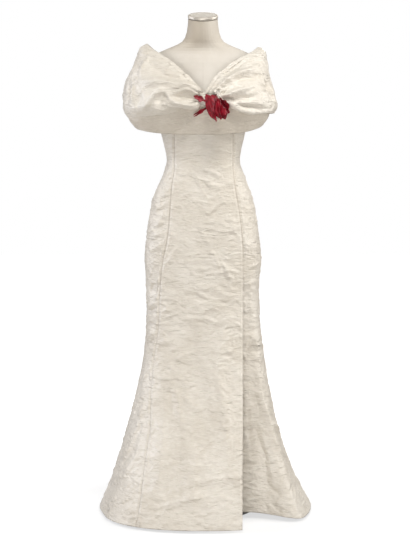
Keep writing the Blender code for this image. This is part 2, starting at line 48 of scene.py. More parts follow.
GOWN_SECTIONS = (
    (0.000, 0.330, 0.344, 0.324, 0.352, 2.40),
    (0.075, 0.300, 0.307, 0.300, 0.330, 2.42),
    (0.178, 0.266, 0.263, 0.258, 0.288, 2.45),
    (0.281, 0.234, 0.232, 0.210, 0.243, 2.48),
    (0.383, 0.208, 0.209, 0.167, 0.199, 2.50),
    (0.485, 0.187, 0.192, 0.136, 0.163, 2.48),
    (0.587, 0.178, 0.179, 0.119, 0.141, 2.44),
    (0.688, 0.176, 0.175, 0.112, 0.134, 2.38),
    (0.789, 0.182, 0.180, 0.110, 0.137, 2.32),
    (0.864, 0.176, 0.174, 0.107, 0.132, 2.28),
    (0.939, 0.165, 0.163, 0.101, 0.118, 2.24),
    (0.989, 0.153, 0.152, 0.096, 0.107, 2.22),
    (1.039, 0.132, 0.133, 0.090, 0.097, 2.20),
    (1.070, 0.119, 0.121, 0.086, 0.091, 2.18),
    (1.101, 0.112, 0.114, 0.084, 0.088, 2.18),
    (1.138, 0.118, 0.119, 0.089, 0.091, 2.20),
    (1.175, 0.127, 0.128, 0.099, 0.096, 2.22),
    (1.225, 0.136, 0.136, 0.118, 0.102, 2.24),
    (1.260, 0.140, 0.140, 0.124, 0.105, 2.24),
    (1.300, 0.143, 0.143, 0.117, 0.104, 2.22),
)
PRINCESS_SEAMS = (
    (0.000, 0.201, 0.118),
    (0.094, 0.188, 0.119),
    (0.194, 0.176, 0.120),
    (0.279, 0.163, 0.1215),
    (0.435, 0.158, 0.123),
    (0.586, 0.138, 0.124),
    (0.678, 0.135, 0.125),
    (0.776, 0.127, 0.125),
    (0.870, 0.109, 0.121),
    (0.947, 0.102, 0.112),
    (1.025, 0.0965, 0.099),
    (1.082, 0.088, 0.093),
    (1.180, 0.088, 0.093),
    (1.300, 0.088, 0.091),
)
PLEAT = (
    (0.000, 0.165, 0.300, 0.080),
    (0.150, 0.116, 0.230, 0.076),
    (0.300, 0.070, 0.160, 0.068),
    (0.450, 0.038, 0.100, 0.055),
    (0.600, 0.020, 0.060, 0.042),
    (0.660, 0.013, 0.038, 0.032),
    (0.720, 0.0070, 0.034, 0.020),
    (0.770, 0.0042, 0.030, 0.010),
    (0.810, 0.0034, 0.026, 0.000),
    (0.850, 0.0000, 0.020, 0.000),
)
PLEAT_HEM_LIFT = 0.014
PLEAT_LIFT_SHARE = 0.8
PLEAT_INNER_RISE = 0.86
HEM_REACH = 0.12
FLUTES = (
    (-118, 17, 0.012, 0.46),
    (-150, 15, 0.014, 0.52),
    (-178, 14, 0.012, 0.55),
    (148, 15, 0.014, 0.50),
    (116, 17, 0.011, 0.46),
    (-74, 14, 0.008, 0.40),
    (74, 12, 0.006, 0.36),
)
BUST_TOP = 1.285
CLOTH = 0.002
SEAM_GAP = 0.0003

NECK_EDGE = (0.172, 0.169, 0.137, 0.112, 1.36, 1.304, 1.460, 1.449, 1.378, 1.10, 0.91)
SHOULDER = (0.206, 0.197, 0.148, 0.126, 1.75, 1.299, 1.418, 1.415, 1.350, 1.05, 1.05)
UPPER_ARM = (0.238, 0.213, 0.158, 0.138, 2.10, 1.290, 1.338, 1.338, 1.312, 0.95, 0.95)
WIDEST = (0.2475, 0.2275, 0.158, 0.143, 2.25, 1.278, 1.276, 1.274, 1.272, 0.90, 0.90)
ROLL = (0.2435, 0.222, 0.147, 0.140, 2.30, 1.264, 1.236, 1.246, 1.238, 1.00, 1.00)
BAND_TOP = (0.231, 0.206, 0.1300, 0.130, 2.30, 1.296, 1.254, 1.264, 1.254, 1.60, 1.60)
BAND_FOOT = (0.205, 0.180, 0.1030, 0.1005, 2.30, 1.181, 1.197, 1.204, 1.190, 3.00, 3.00)
DRAPE_RAILS = (NECK_EDGE, SHOULDER, UPPER_ARM, WIDEST, ROLL)
DRAPE_SPANS = {"left": (-180.0, 3.0), "right": (3.0, 180.0)}
BACK_SQUARE = 2.2
BACK_CLIMB = 1.6
TUCK_RISE = 0.005
TUCK_CLEARANCE = 0.0006
BAND_BULGE = 0.010
BAND_CLEARANCE = 0.0021
LEFT_FULLNESS = 0.013
FULLNESS_START = 0.2
FULLNESS_TURN = 34
RIGHT_CLIMB = 0.024
CLIMB_TURN = 11
CLIMB_SPREAD = 12
CLIMB_START = 6
CLIMB_FROM = 2.8
RAIL_CLIMBS = (0.0, 0.1, 0.35, 0.7, 1.0)
PINCH_DEPTH = 0.013
PINCH_WIDTH = 20
SEAM_FACING = 9
FOLD_NARROW = 0.55
FOLD_WIDENING = 0.75
FOLD_SWELL = 0.7
FOLD_SETTLE = 0.14
LEFT_FOLDS = (
    (0.10, 0.06, 6, 96, 0.070, 0.006),
    (0.26, 0.24, 14, 66, 0.085, -0.013),
    (0.42, 0.44, 6, 78, 0.080, 0.011),
    (0.57, 0.60, 8, 52, 0.075, -0.015),
    (0.70, 0.82, 4, 74, 0.075, 0.009),
    (0.46, 0.86, 50, 92, 0.080, -0.009),
    (0.30, 0.70, 74, 118, 0.090, 0.007),
    (0.22, 0.60, 96, 150, 0.110, -0.007),
    (0.60, 0.40, 120, 172, 0.110, 0.006),
)
RIGHT_FOLDS = (
    (0.09, 0.07, 5, 92, 0.065, 0.005),
    (0.24, 0.30, 8, 84, 0.070, -0.009),
    (0.40, 0.46, 6, 60, 0.080, 0.010),
    (0.58, 0.62, 12, 70, 0.110, -0.014),
    (0.82, 0.80, 4, 80, 0.080, 0.010),
    (0.34, 0.72, 62, 104, 0.090, 0.007),
    (0.26, 0.64, 92, 146, 0.110, -0.007),
    (0.60, 0.38, 118, 170, 0.110, 0.006),
)

ROSE_BASE = Vector((0.0225, -0.1605, 1.2950))
ROSE_AXIS = Vector((0.42, -0.08, -0.90)).normalized()
ROSE_FLATNESS = 0.8
ROSE_CALYX = 0.78
CALYX_REACH = 0.62
PETAL_FLARE_START = 0.55
PETAL_NARROWING = 0.25
PETAL_ROUNDING = 0.16
PETALS = (
    (20, 130, 0.0085, 0.054, 0.0000, 0.0004),
    (200, 120, 0.0114, 0.059, 0.0004, 0.0005),
    (110, 110, 0.0143, 0.066, 0.0010, 0.0006),
    (320, 105, 0.0172, 0.074, 0.0018, 0.0007),
    (200, 100, 0.0201, 0.076, 0.0028, 0.0008),
    (60, 100, 0.0230, 0.075, 0.0040, 0.0009),
)
LEAVES = (
    ((0.0130, -0.1482, 1.2800), (-0.0280, -0.1475, 1.2975), 0.0125, 0.003, 0.30),
    ((0.0150, -0.1541, 1.2640), (-0.0300, -0.1400, 1.2365), 0.0080, 0.006, 0.45),
)
LEAF_FOLD = 0.005
LEAF_TIP = 1.1
LEAF_TAPER = 1.5


def smoothstep(x):
    x = np.clip(x, 0.0, 1.0)
    return x * x * (3 - 2 * x)


def read_table(rows, height):
    """Each column of a table at a height, on smooth curves that never overshoot its rows."""
    heights = [row[0] for row in rows]
    height = min(max(height, heights[0]), heights[-1])
    k = 0
    while k < len(rows) - 2 and height > heights[k + 1]:
        k += 1
    span = heights[k + 1] - heights[k]
    t = (height - heights[k]) / span
    values = []
    for column in range(1, len(rows[0])):
        ends = [rows[k][column], rows[k + 1][column]]
        slopes = []
        for at in (k, k + 1):
            before, after = max(at - 1, 0), min(at + 1, len(rows) - 1)
            run = heights[after] - heights[before]
            slope = (rows[after][column] - rows[before][column]) / run * span
            rise_in = rows[at][column] - rows[before][column]
            rise_out = rows[after][column] - rows[at][column]
            slopes.append(slope if rise_in * rise_out > 0 or at in (0, len(rows) - 1) else 0.0)
        limit = 3 * (ends[1] - ends[0])
        slopes = [min(max(s, min(0, limit)), max(0, limit)) for s in slopes]
        a = 2 * t**3 - 3 * t**2 + 1
        value = a * ends[0] + (1 - a) * ends[1]
        value += (t**3 - 2 * t**2 + t) * slopes[0] + (t**3 - t**2) * slopes[1]
        values.append(value)
    return values


def outline(angle, left, right, front, back, square):
    s, c = np.sin(angle), np.cos(angle)
    x = np.where(s > 0, right, left) * np.abs(s) ** (2 / square) * np.sign(s)
    y = -np.where(c > 0, front, back) * np.abs(c) ** (2 / square) * np.sign(c)
    return np.stack([x, y, np.zeros_like(x)], -1)


def turn_between(angle, centre):
    return (np.degrees(angle) - centre + 180) % 360 - 180


def gown_row(angle, height):
    """The gown's outline at one height, at each of a row of angles."""
    left, right, front, back, square = read_table(GOWN_SECTIONS, height)
    points = outline(angle, left, right, front, back, square)
    inward = np.zeros_like(angle)
    for centre, width, depth, top in FLUTES:
        fade = smoothstep((top - height) / top)
        inward += depth * fade * np.exp(-((turn_between(angle, centre) / width) ** 2))
    reach = np.maximum(np.linalg.norm(points, axis=-1), 0.05)
    points *= (1 - inward / reach)[:, None]
    points[:, 2] = height
    return points


def seam_angle(side, height):
    left, right, _, _, square = read_table(GOWN_SECTIONS, height)
    seam_left, seam_right = read_table(PRINCESS_SEAMS, height)
    if side == "left":
        return -math.asin((seam_left / left) ** (square / 2))
    return math.asin((seam_right / right) ** (square / 2))


def arc_to_angle(angle, height):
    step = 0.01
    ends = gown_row(np.array([angle - step, angle + step]), height)
    return 2 * step / max(np.linalg.norm(ends[1] - ends[0]), 1e-6)


def pleated_row(share, height):
    depth, spread, underlap = read_table(PLEAT, height)
    edge = seam_angle("right", height)
    rate = arc_to_angle(edge, height)
    start = edge - underlap * rate
    angle = start + (math.pi / 2 - start) * share
    points = gown_row(angle, height)
    along = (angle - edge) / rate
    near = CLOTH + SEAM_GAP * 4
    outer = depth * (1 - smoothstep(along / spread))
    inner = depth - (depth - near) * PLEAT_INNER_RISE * smoothstep(-along / max(underlap, 0.001))
    inner = np.maximum(inner, min(depth, near))
    points[:, 1] += np.where(along > 0, outer, inner)
    return points


def hem_fade(height):
    return 1 - smoothstep(height / HEM_REACH)


def rail_row(rail, angle):
    left, right, front, back, square, z_front, z_left, z_right, z_back, climb_left, climb_right = rail
    ahead, on_right = np.cos(angle) > 0, np.sin(angle) > 0
    points = outline(angle, left, right, front, back, np.where(ahead, square, BACK_SQUARE))
    climb = np.where(ahead, np.where(on_right, climb_right, climb_left), BACK_CLIMB)
    middle = np.where(ahead, z_front, z_back)
    points[:, 2] = middle + (np.where(on_right, z_right, z_left) - middle) * np.abs(np.sin(angle)) ** climb
    return points


def outwards(points):
    flat = points * (1, 1, 0)
    return flat / np.linalg.norm(flat, axis=-1, keepdims=True)


def gown_reach(points):
    reach = []
    for x, y, z in points:
        left, right, front, back, square = read_table(GOWN_SECTIONS, z)
        length = math.hypot(x, y)
        across = abs(x) / length / (right if x > 0 else left)
        ahead = abs(y) / length / (front if y < 0 else back)
        reach.append((across**square + ahead**square) ** (-1 / square))
    return np.array(reach)


def band_row(angle, down):
    """The band at a share down from its top edge, which may differ from angle to angle."""
    down = np.broadcast_to(down, angle.shape)
    top, foot = rail_row(BAND_TOP, angle), rail_row(BAND_FOOT, angle)
    points = top + (foot - top) * down[:, None]
    out = outwards(points)
    swell = BAND_BULGE * np.sin(np.pi * down) * np.sin(angle) ** 2
    turn = -np.degrees(angle)
    full = smoothstep(turn / FULLNESS_TURN) * smoothstep((180 - turn) / FULLNESS_TURN)
    bow = np.sin(np.pi * (FULLNESS_START + (1 - FULLNESS_START) * down))
    swell += np.where(angle < 0, LEFT_FULLNESS * full * np.abs(np.cos(angle)) * bow, 0.0)
    points += out * swell[:, None]
    short = gown_reach(points) + CLOTH + BAND_CLEARANCE - np.hypot(points[:, 0], points[:, 1])
    return points + out * np.maximum(short, 0.0)[:, None]


def spline(points, t):
    at = t * (len(points) - 1)
    k = min(int(at), len(points) - 2)
    f = at - k
    a, b = points[max(k - 1, 0)], points[k]
    c, d = points[k + 1], points[min(k + 2, len(points) - 1)]
    bend = 2 * a - 5 * b + 4 * c - d
    twist = 3 * b - a - 3 * c + d
    return (2 * b + (c - a) * f + bend * f**2 + twist * f**3) / 2


def fold_height(turn, down, folds):
    total = np.zeros_like(turn)
    for start, end, near, far, width, height in folds:
        along = np.clip((turn - near) / (far - near), 0.0, 1.0)
        centre = start + (end - start) * along
        spread = width * (FOLD_NARROW + FOLD_WIDENING * along)
        swell = np.sin(np.pi * along) ** FOLD_SWELL
        total += height * swell * np.exp(-(((down - centre) / spread) ** 2))
    return total


def drape_rails(side, angle):
    """The collar's rails over a row of angles, from the neck edge to the tuck on the band."""
    rails = [rail_row(rail, angle) for rail in DRAPE_RAILS]
    if side == "right":
        turn = np.degrees(angle)
        climb = RIGHT_CLIMB * np.exp(-(((turn - CLIMB_TURN) / CLIMB_SPREAD) ** 2))
        climb *= smoothstep((turn - CLIMB_FROM) / CLIMB_START)
        for points, share in zip(rails, RAIL_CLIMBS):
            points[:, 2] += climb * share
    top, foot = rail_row(BAND_TOP, angle), rail_row(BAND_FOOT, angle)
    share = (top[:, 2] - rails[-1][:, 2] - TUCK_RISE) / (top[:, 2] - foot[:, 2])
    tuck = band_row(angle, np.maximum(share, 0.0))
    rails.append(tuck + outwards(tuck) * (CLOTH + TUCK_CLEARANCE))
    return rails


def grid_normals(grid):
    across = np.gradient(grid, axis=1)
    up = np.gradient(grid, axis=0)
    normals = np.cross(across, up)
    length = np.linalg.norm(normals, axis=-1, keepdims=True)
    return normals / np.maximum(length, 1e-12)


def arc_across(grid):
    """How far each point lies along its row, from the row's first point."""
    steps = np.linalg.norm(np.diff(grid, axis=1), axis=-1)
    return np.concatenate([np.zeros((len(grid), 1)), np.cumsum(steps, axis=1)], axis=1)


def arc_up(grid):
    """How far each point lies along its column, from the column's first point."""
    steps = np.linalg.norm(np.diff(grid, axis=0), axis=-1)
    return np.concatenate([np.zeros((1, grid.shape[1])), np.cumsum(steps, axis=0)], axis=0)


class Cloth:
    """A grid of points with flat sizes across and up it, and the height of its creases."""

    def __init__(self, grid, across=None, up=None):
        self.grid = grid
        self.across = arc_across(grid) if across is None else across
        self.up = grid[..., 2].copy() if up is None else up
        self.creases = np.zeros(grid.shape[:2])

    def crease(self, start, end, width, height, bend=0.0, sharp=0.0, lean=0.0):
        """One crease between two places on the flat cloth: a ridge, or a trough below zero."""
        (s0, t0), (s1, t1) = start, end
        reach = 2.6 * width + abs(bend)
        rows = np.where((self.up.min(axis=1) < max(t0, t1) + reach) & (self.up.max(axis=1) > min(t0, t1) - reach))[0]
        if not len(rows):
            return
        middle = self.across[rows]
        inside = (middle < max(s0, s1) + reach) & (middle > min(s0, s1) - reach)
        columns = np.where(inside.any(axis=0))[0]
        if not len(columns):
            return
        window = np.s_[rows[0]:rows[-1] + 1, columns[0]:columns[-1] + 1]
        s, t = self.across[window], self.up[window]
        length = math.hypot(s1 - s0, t1 - t0)
        ds, dt = (s1 - s0) / length, (t1 - t0) / length
        along = ((s - s0) * ds + (t - t0) * dt) / length * 2 - 1
        off = (-(s - s0) * dt + (t - t0) * ds - bend * (1 - along**2)) / width
        off = off * (1 + lean * np.tanh(off))
        taper = np.clip(1 - along**2, 0.0, 1.0)
        soft = np.exp(-(off**2))
        keen = np.clip(1 - np.abs(off) / 1.6, 0.0, 1.0)
        self.creases[window] += height * taper * (soft * (1 - sharp) + keen * sharp)

    def crumple(self, rng, per_metre, length, width, height, slant, mask=None, fall=0.0):
        """Small random creases, so many to the square metre, in a range of sizes.

        They lie across the cloth, and on average they fall to its right by so many degrees.
        """
        wide, tall = self.across.max(), self.up.max() - self.up.min()
        for _ in range(int(per_metre * wide * tall)):
            s, t = rng.uniform(0, wide), self.up.min() + rng.uniform(0, tall)
            turn = math.radians(rng.normal(-fall, slant))
            half = rng.uniform(*length) / 2
            thick = rng.uniform(*width)
            rise = rng.uniform(*height) * rng.choice((-1.0, 1.0))
            bend = rng.normal(0, 0.16) * half
            lean = rng.uniform(-0.5, 0.5)
            if mask is not None:
                rise *= mask(s, t)
            ds, dt = math.cos(turn) * half, math.sin(turn) * half
            self.crease((s - ds, t - dt), (s + ds, t + dt), thick, rise, bend, 0.65, lean)

    def point_at(self, row, column):
        """The point of the plain cloth at fractional places in its grid."""
        rows, columns = self.grid.shape[:2]
        row, column = np.clip(row, 0, rows - 1.001), np.clip(column, 0, columns - 1.001)
        j, i = row.astype(int), column.astype(int)
        f, g = (row - j)[:, None], (column - i)[:, None]
        low = self.grid[j, i] * (1 - g) + self.grid[j, i + 1] * g
        high = self.grid[j + 1, i] * (1 - g) + self.grid[j + 1, i + 1] * g
        return low * (1 - f) + high * f

    def fold(self, places, width, height, sharp=0.35, lean=0.0, rise=0.25, fall=0.4):
        """A main fold on a smooth path through grid places: a ridge, or a trough below zero.

        It grows over the first share of its path and dies away over the last.
        """
        places = np.array(places, float)
        samples = 10 * (len(places) - 1) + 1
        route = np.array([spline(places, t) for t in np.linspace(0, 1, samples)])
        line = self.point_at(route[:, 0], route[:, 1])
        reach = 3.0 * width
        near = np.zeros(self.grid.shape[:2], bool)
        for k in range(0, samples, 3):
            near |= ((self.grid - line[k]) ** 2).sum(-1) < (reach + 0.03) ** 2
        points = self.grid[near]
        best = np.full(len(points), 1e9)
        share = np.zeros(len(points))
        side_of = np.ones(len(points))
        up_way = np.array((0.0, 0.0, 1.0))
        lengths = np.linalg.norm(np.diff(line, axis=0), axis=1)
        run = np.concatenate([[0.0], np.cumsum(lengths)]) / max(lengths.sum(), 1e-6)
        for k in range(samples - 1):
            step = line[k + 1] - line[k]
            t = np.clip(((points - line[k]) @ step) / max(step @ step, 1e-12), 0.0, 1.0)
            away = points - line[k] - t[:, None] * step
            far = (away**2).sum(-1)
            closer = far < best
            best = np.where(closer, far, best)
            share = np.where(closer, run[k] + (run[k + 1] - run[k]) * t, share)
            across = np.cross(step, away) @ np.cross(step, up_way)
            side_of = np.where(closer, np.sign(across), side_of)
        off = np.sqrt(best) / width * (1 + lean * side_of)
        profile = np.exp(-(off**2)) * (1 - sharp) + np.clip(1 - off / 1.5, 0.0, 1.0) * sharp
        swell = smoothstep(share / max(rise, 1e-3)) * smoothstep((1 - share) / max(fall, 1e-3))
        self.creases[near] += height * profile * swell

    def seen_at(self, x, z):
        """The grid place under a point of a gown panel, seen from the front."""
        rows = len(self.grid)
        row = min(max(z / BUST_TOP, 0.0), 1.0) * (rows - 1)
        line = self.grid[int(round(row))]
        column = np.interp(x, line[:, 0], np.arange(line.shape[0]))
        return row, column

    def fade_edges(self, edges, reach):
        """The creases die away towards the seams, so that both sides of a seam meet."""
        width = self.across[:, -1:]
        for edge in edges:
            off = self.across if edge == "left" else width - self.across
            self.creases *= smoothstep(off / reach)

    def shaped(self, low=None):
        heights = self.creases if low is None else np.maximum(self.creases, low)
        return self.grid + grid_normals(self.grid) * heights[..., None]


def add_turn_in(grid, edge, steps):
    """More points past an edge, turned in behind the cloth: (run back, depth) in metres."""
    normals = grid_normals(grid)
    if edge in ("left", "right"):
        rim = grid[:, 0] if edge == "left" else grid[:, -1]
        inner = grid[:, 2] if edge == "left" else grid[:, -3]
        normal = normals[:, 0] if edge == "left" else normals[:, -1]
    else:
        rim = grid[0] if edge == "foot" else grid[-1]
        inner = grid[2] if edge == "foot" else grid[-3]
        normal = normals[0] if edge == "foot" else normals[-1]
    back = inner - rim
    back /= np.maximum(np.linalg.norm(back, axis=-1, keepdims=True), 1e-9)
    strips = [rim + back * run - normal * depth for run, depth in steps]
    if edge == "left":
        return np.concatenate([np.stack(strips[::-1], axis=1), grid], axis=1)
    if edge == "right":
        return np.concatenate([grid, np.stack(strips, axis=1)], axis=1)
    if edge == "foot":
        return np.concatenate([np.stack(strips[::-1], axis=0), grid], axis=0)
    return np.concatenate([grid, np.stack(strips, axis=0)], axis=0)


def sheet_object(name, grid, material):
    rows, columns = grid.shape[:2]
    index = np.arange(rows * columns).reshape(rows, columns)
    corners = (index[:-1, :-1], index[:-1, 1:], index[1:, 1:], index[1:, :-1])
    quads = np.stack(corners, -1).reshape(-1, 4)
    mesh = bpy.data.meshes.new(name)
    mesh.from_pydata(grid.reshape(-1, 3).tolist(), [], quads.tolist())
    mesh.shade_smooth()
    mesh.materials.append(material)
    made = bpy.data.objects.new(name, mesh)
    bpy.context.scene.collection.objects.link(made)
    return made


# Materials


class Nodes:
    """A short way to wire a material's nodes."""

    def __init__(self, name):
        self.material = bpy.data.materials.new(name)
        self.material.use_nodes = True
        self.tree = self.material.node_tree
        self.shader = self.tree.nodes["Principled BSDF"]
        self.place = self.add("ShaderNodeTexCoord").outputs["Object"]

    def add(self, kind, **inputs):
        node = self.tree.nodes.new(kind)
        for key, value in inputs.items():
            socket = node.inputs[key.replace("_", " ")]
            if isinstance(value, bpy.types.NodeSocket):
                self.tree.links.new(value, socket)
            else:
                socket.default_value = value
        return node

    def link(self, output, key):
        self.tree.links.new(output, self.shader.inputs[key])

    def set(self, **values):
        for key, value in values.items():
            self.shader.inputs[key.replace("_", " ")].default_value = value

    def stretched(self, x, y, z):
        return self.add("ShaderNodeMapping", Vector=self.place, Scale=(x, y, z)).outputs["Vector"]

    def noise(self, vector, scale, detail=3.0, roughness=0.55, distortion=0.0):
        node = self.add("ShaderNodeTexNoise", Vector=vector, Scale=scale, Detail=detail)
        node.inputs["Roughness"].default_value = roughness
        node.inputs["Distortion"].default_value = distortion
        return node.outputs["Fac"]

    def ridges(self, vector, scale, detail, distortion):
        """Narrow ridges such as crumpled cloth has."""
        node = self.add("ShaderNodeTexNoise", Vector=vector)
        node.noise_type = "RIDGED_MULTIFRACTAL"
        for key, value in (("Scale", scale), ("Detail", detail), ("Distortion", distortion)):
            node.inputs[key].default_value = value
        return node.outputs["Fac"]

    def ramp(self, value, *stops):
        node = self.add("ShaderNodeValToRGB", Fac=value)
        ramp = node.color_ramp
        while len(ramp.elements) < len(stops):
            ramp.elements.new(0.5)
        for element, (at, colour) in zip(ramp.elements, stops):
            element.position = at
            element.color = (*colour, 1.0) if len(colour) == 3 else colour
        return node.outputs["Color"]

    def math(self, operation, first, second=0.0):
        node = self.tree.nodes.new("ShaderNodeMath")
        node.operation = operation
        for socket, value in zip(node.inputs, (first, second)):
            if isinstance(value, bpy.types.NodeSocket):
                self.tree.links.new(value, socket)
            else:
                socket.default_value = value
        return node.outputs["Value"]

    def mix(self, fac, first, second, blend="MIX"):
        node = self.tree.nodes.new("ShaderNodeMixRGB")
        node.blend_type = blend
        for socket, value in zip(node.inputs, (fac, first, second)):
            if isinstance(value, bpy.types.NodeSocket):
                self.tree.links.new(value, socket)
            elif isinstance(value, tuple):
                socket.default_value = (*value, 1.0)
            else:
                socket.default_value = value
        return node.outputs["Color"]

    def bump(self, height, strength, distance, normal=None):
        node = self.add("ShaderNodeBump", Height=height, Strength=strength, Distance=distance)
        if normal is not None:
            self.tree.links.new(normal, node.inputs["Normal"])
        return node.outputs["Normal"]


# Painted shade along the stitched line of each seam, darker than the cloth, marked in the mesh
SEAM_SHADE_ATTRIBUTE = "seam"
SEAM_SHADE = (0.31, 0.245, 0.175)
SEAM_LINE = 0.0018
FRONT_SEAM = 0.60
OTHER_SEAM = 0.30
SEAM_FAINT = (0.30, 0.95)


def silk_material(name, light, dark, crinkle, shine):
    """Crisp silk: slubs along the weft, crinkles that catch the light and a soft gloss."""
    made = Nodes(name)
    patches = made.noise(made.place, 9.0, 4.0)
    slub = made.noise(made.stretched(60, 60, 900), 1.0, 2.0)
    tone = made.ramp(made.math("ADD", made.math("MULTIPLY", patches, 0.45), made.math("MULTIPLY", slub, 0.55)),
                     (0.41, dark), (0.58, light))
    # Painted shade along the seams, as strong as the mesh marks it
    seam_shade_node = made.add("ShaderNodeAttribute")
    seam_shade_node.attribute_name = SEAM_SHADE_ATTRIBUTE
    tone = made.mix(seam_shade_node.outputs["Fac"], tone, SEAM_SHADE)
    made.link(tone, "Base Color")
    made.link(made.ramp(slub, (0.3, (shine,) * 3), (0.7, (shine + 0.14,) * 3)), "Roughness")
    large = made.ridges(made.stretched(11, 11, 34), 1.0, 2.0, 1.0)
    small = made.ridges(made.stretched(32, 32, 92), 1.0, 2.0, 0.9)
    fine = made.noise(made.stretched(90, 90, 250), 1.0, 3.0)
    weave = made.noise(made.stretched(900, 900, 2600), 1.0, 1.0)
    first = made.bump(large, crinkle, 0.0046)
    second = made.bump(small, crinkle, 0.0032, first)
    third = made.bump(fine, crinkle, 0.0024, second)
    made.link(made.bump(weave, 0.25, 0.0002, third), "Normal")
    made.set(Sheen_Weight=0.10, Sheen_Roughness=0.35, Specular_IOR_Level=0.62)
    return made.material


def rose_material():
    made = Nodes("crimson silk")
    patches = made.noise(made.place, 90.0, 3.0)
    made.link(made.ramp(patches, (0.30, (0.085, 0.001, 0.004)), (0.70, (0.30, 0.005, 0.019))), "Base Color")
    weave = made.noise(made.stretched(900, 900, 1500), 1.0, 1.0)
    folds = made.noise(made.place, 240.0, 2.0)
    normal = made.bump(folds, 0.5, 0.0010)
    made.link(made.bump(weave, 0.3, 0.0002, normal), "Normal")
    made.link(made.ramp(patches, (0.3, (0.30,) * 3), (0.7, (0.44,) * 3)), "Roughness")
    made.set(Sheen_Weight=0.03, Sheen_Roughness=0.4, Specular_IOR_Level=0.34)
    return made.material


def linen_material():
    made = Nodes("linen form")
    patches = made.noise(made.place, 9.0, 3.0)
    threads = made.noise(made.stretched(1400, 1400, 260), 1.0, 2.0)
    tone = made.math("ADD", made.math("MULTIPLY", patches, 0.55), made.math("MULTIPLY", threads, 0.45))
    colour = made.ramp(tone, (0.36, (0.575, 0.53, 0.465)), (0.64, (0.67, 0.63, 0.57)))
    split = made.add("ShaderNodeSeparateXYZ", Vector=made.place)
    x, y, z = (split.outputs[key] for key in "XYZ")
    centre = made.math("LESS_THAN", made.math("ABSOLUTE", x), 0.0007)
    below_neck = made.math("LESS_THAN", z, 1.40)
    seam = made.math("MULTIPLY", centre, below_neck)
    colour = made.mix(made.math("MULTIPLY", seam, 0.18), colour, (0.36, 0.31, 0.24))
    # Painted shade: the neck's linen is darkened, most on the viewer's left, for the shade that falls there
    height = made.math("MULTIPLY", made.math("SUBTRACT", z, 1.425), 22.0)
    on_neck = made.ramp(height, (0.0, (0.0,) * 3), (1.0, (1.0,) * 3))
    leftward = made.math("ADD", made.math("MULTIPLY", x, -12.0), 0.5)
    painted_neck_shade = made.ramp(leftward, (0.2, (0.22,) * 3), (0.8, (0.66,) * 3))
    colour = made.mix(made.math("MULTIPLY", on_neck, painted_neck_shade), colour, (0.42, 0.355, 0.265))
    made.link(colour, "Base Color")
    warp = made.noise(made.stretched(260, 260, 1500), 1.0, 1.0)
    weave = made.bump(made.math("ADD", threads, warp), 0.35, 0.0004)
    made.link(made.bump(made.math("SUBTRACT", 1.0, seam), 0.5, 0.0005, weave), "Normal")
    made.set(Roughness=0.86, Sheen_Weight=0.12, Specular_IOR_Level=0.25)
    return made.material


def cap_material():
    made = Nodes("brushed nickel")
    brushed = made.noise(made.stretched(240, 240, 3000), 1.0, 2.0)
    made.link(made.ramp(brushed, (0.3, (0.47, 0.435, 0.38)), (0.7, (0.58, 0.55, 0.50))), "Base Color")
    made.link(made.ramp(brushed, (0.3, (0.42,) * 3), (0.7, (0.56,) * 3)), "Roughness")
    made.link(made.bump(brushed, 0.15, 0.0002), "Normal")
    made.set(Metallic=1.0)
    return made.material


def steel_material():
    made = Nodes("painted steel")
    speckle = made.noise(made.place, 700.0, 2.0)
    wear = made.noise(made.place, 22.0, 3.0)
    made.link(made.ramp(wear, (0.35, (0.60, 0.59, 0.56)), (0.65, (0.72, 0.71, 0.68))), "Base Color")
    made.link(made.bump(speckle, 0.3, 0.0002), "Normal")
    made.link(made.ramp(wear, (0.3, (0.36,) * 3), (0.7, (0.52,) * 3)), "Roughness")
    made.set(Metallic=0.3)
    return made.material


IVORY = (0.705, 0.662, 0.590)
IVORY_DEEP = (0.610, 0.560, 0.480)
CREAM = (0.710, 0.668, 0.596)
CREAM_DEEP = (0.625, 0.575, 0.495)
# The band's silk is the same ivory silk painted darker: painted shade for the band under the collar's overhang
BAND_SHADED = (0.640, 0.585, 0.500)
BAND_SHADED_DEEP = (0.540, 0.485, 0.405)
gown_silk = silk_material("crinkled ivory silk", IVORY, IVORY_DEEP, 0.90, 0.33)
side_silk = silk_material("ivory silk of the side panels", IVORY, IVORY_DEEP, 1.0, 0.36)
collar_silk = silk_material("draped ivory silk", CREAM, CREAM_DEEP, 1.0, 0.34)
shaded_band_silk = silk_material("ivory silk of the band in painted shade", BAND_SHADED, BAND_SHADED_DEEP, 0.9, 0.40)
rose_silk = rose_material()

# Gown panels

GRID = 0.0028
BACK_GRID = 0.0031
TURN_IN = ((0.0006, 0.0008), (0.004, 0.0016), (0.012, 0.0017))
SEAM_ROLL = 0.0016
SEAM_ROLL_WIDTH = 0.0045
SEAM_ROLL_FADE = (0.45, 0.75)
SEAM_RIDGE = 0.0010
SEAM_RIDGE_PLACE = 0.0085
SEAM_RIDGE_WIDTH = 0.0035
PUCKER = 0.0010
PUCKER_LENGTH = 0.017
PUCKER_REACH = 0.020
SEAM_FADE = 0.010
CRINKLE_FADE = (1.03, 1.14)
BODICE_SHARE = 0.16


def zone(height):
    """How strongly the cloth is crinkled at a height: smooth over the bodice, full below."""
    low, high = CRINKLE_FADE
    return BODICE_SHARE + (1 - BODICE_SHARE) * (1 - smoothstep((height - low) / (high - low)))


def gown_cloth(start, end, widest, grid=GRID):
    """A panel between two seams as a fine grid, hem to bust."""
    heights = np.linspace(0.0, BUST_TOP, int(BUST_TOP / grid))
    shares = np.linspace(0.0, 1.0, int(widest / grid))
    rows = []
    for height in heights:
        first, last = start(height), end(height)
        row = gown_row(first + (last - first) * shares, height)
        row[:, 2] += HEM_HEIGHT * hem_fade(height)
        rows.append(row)
    return Cloth(np.array(rows))


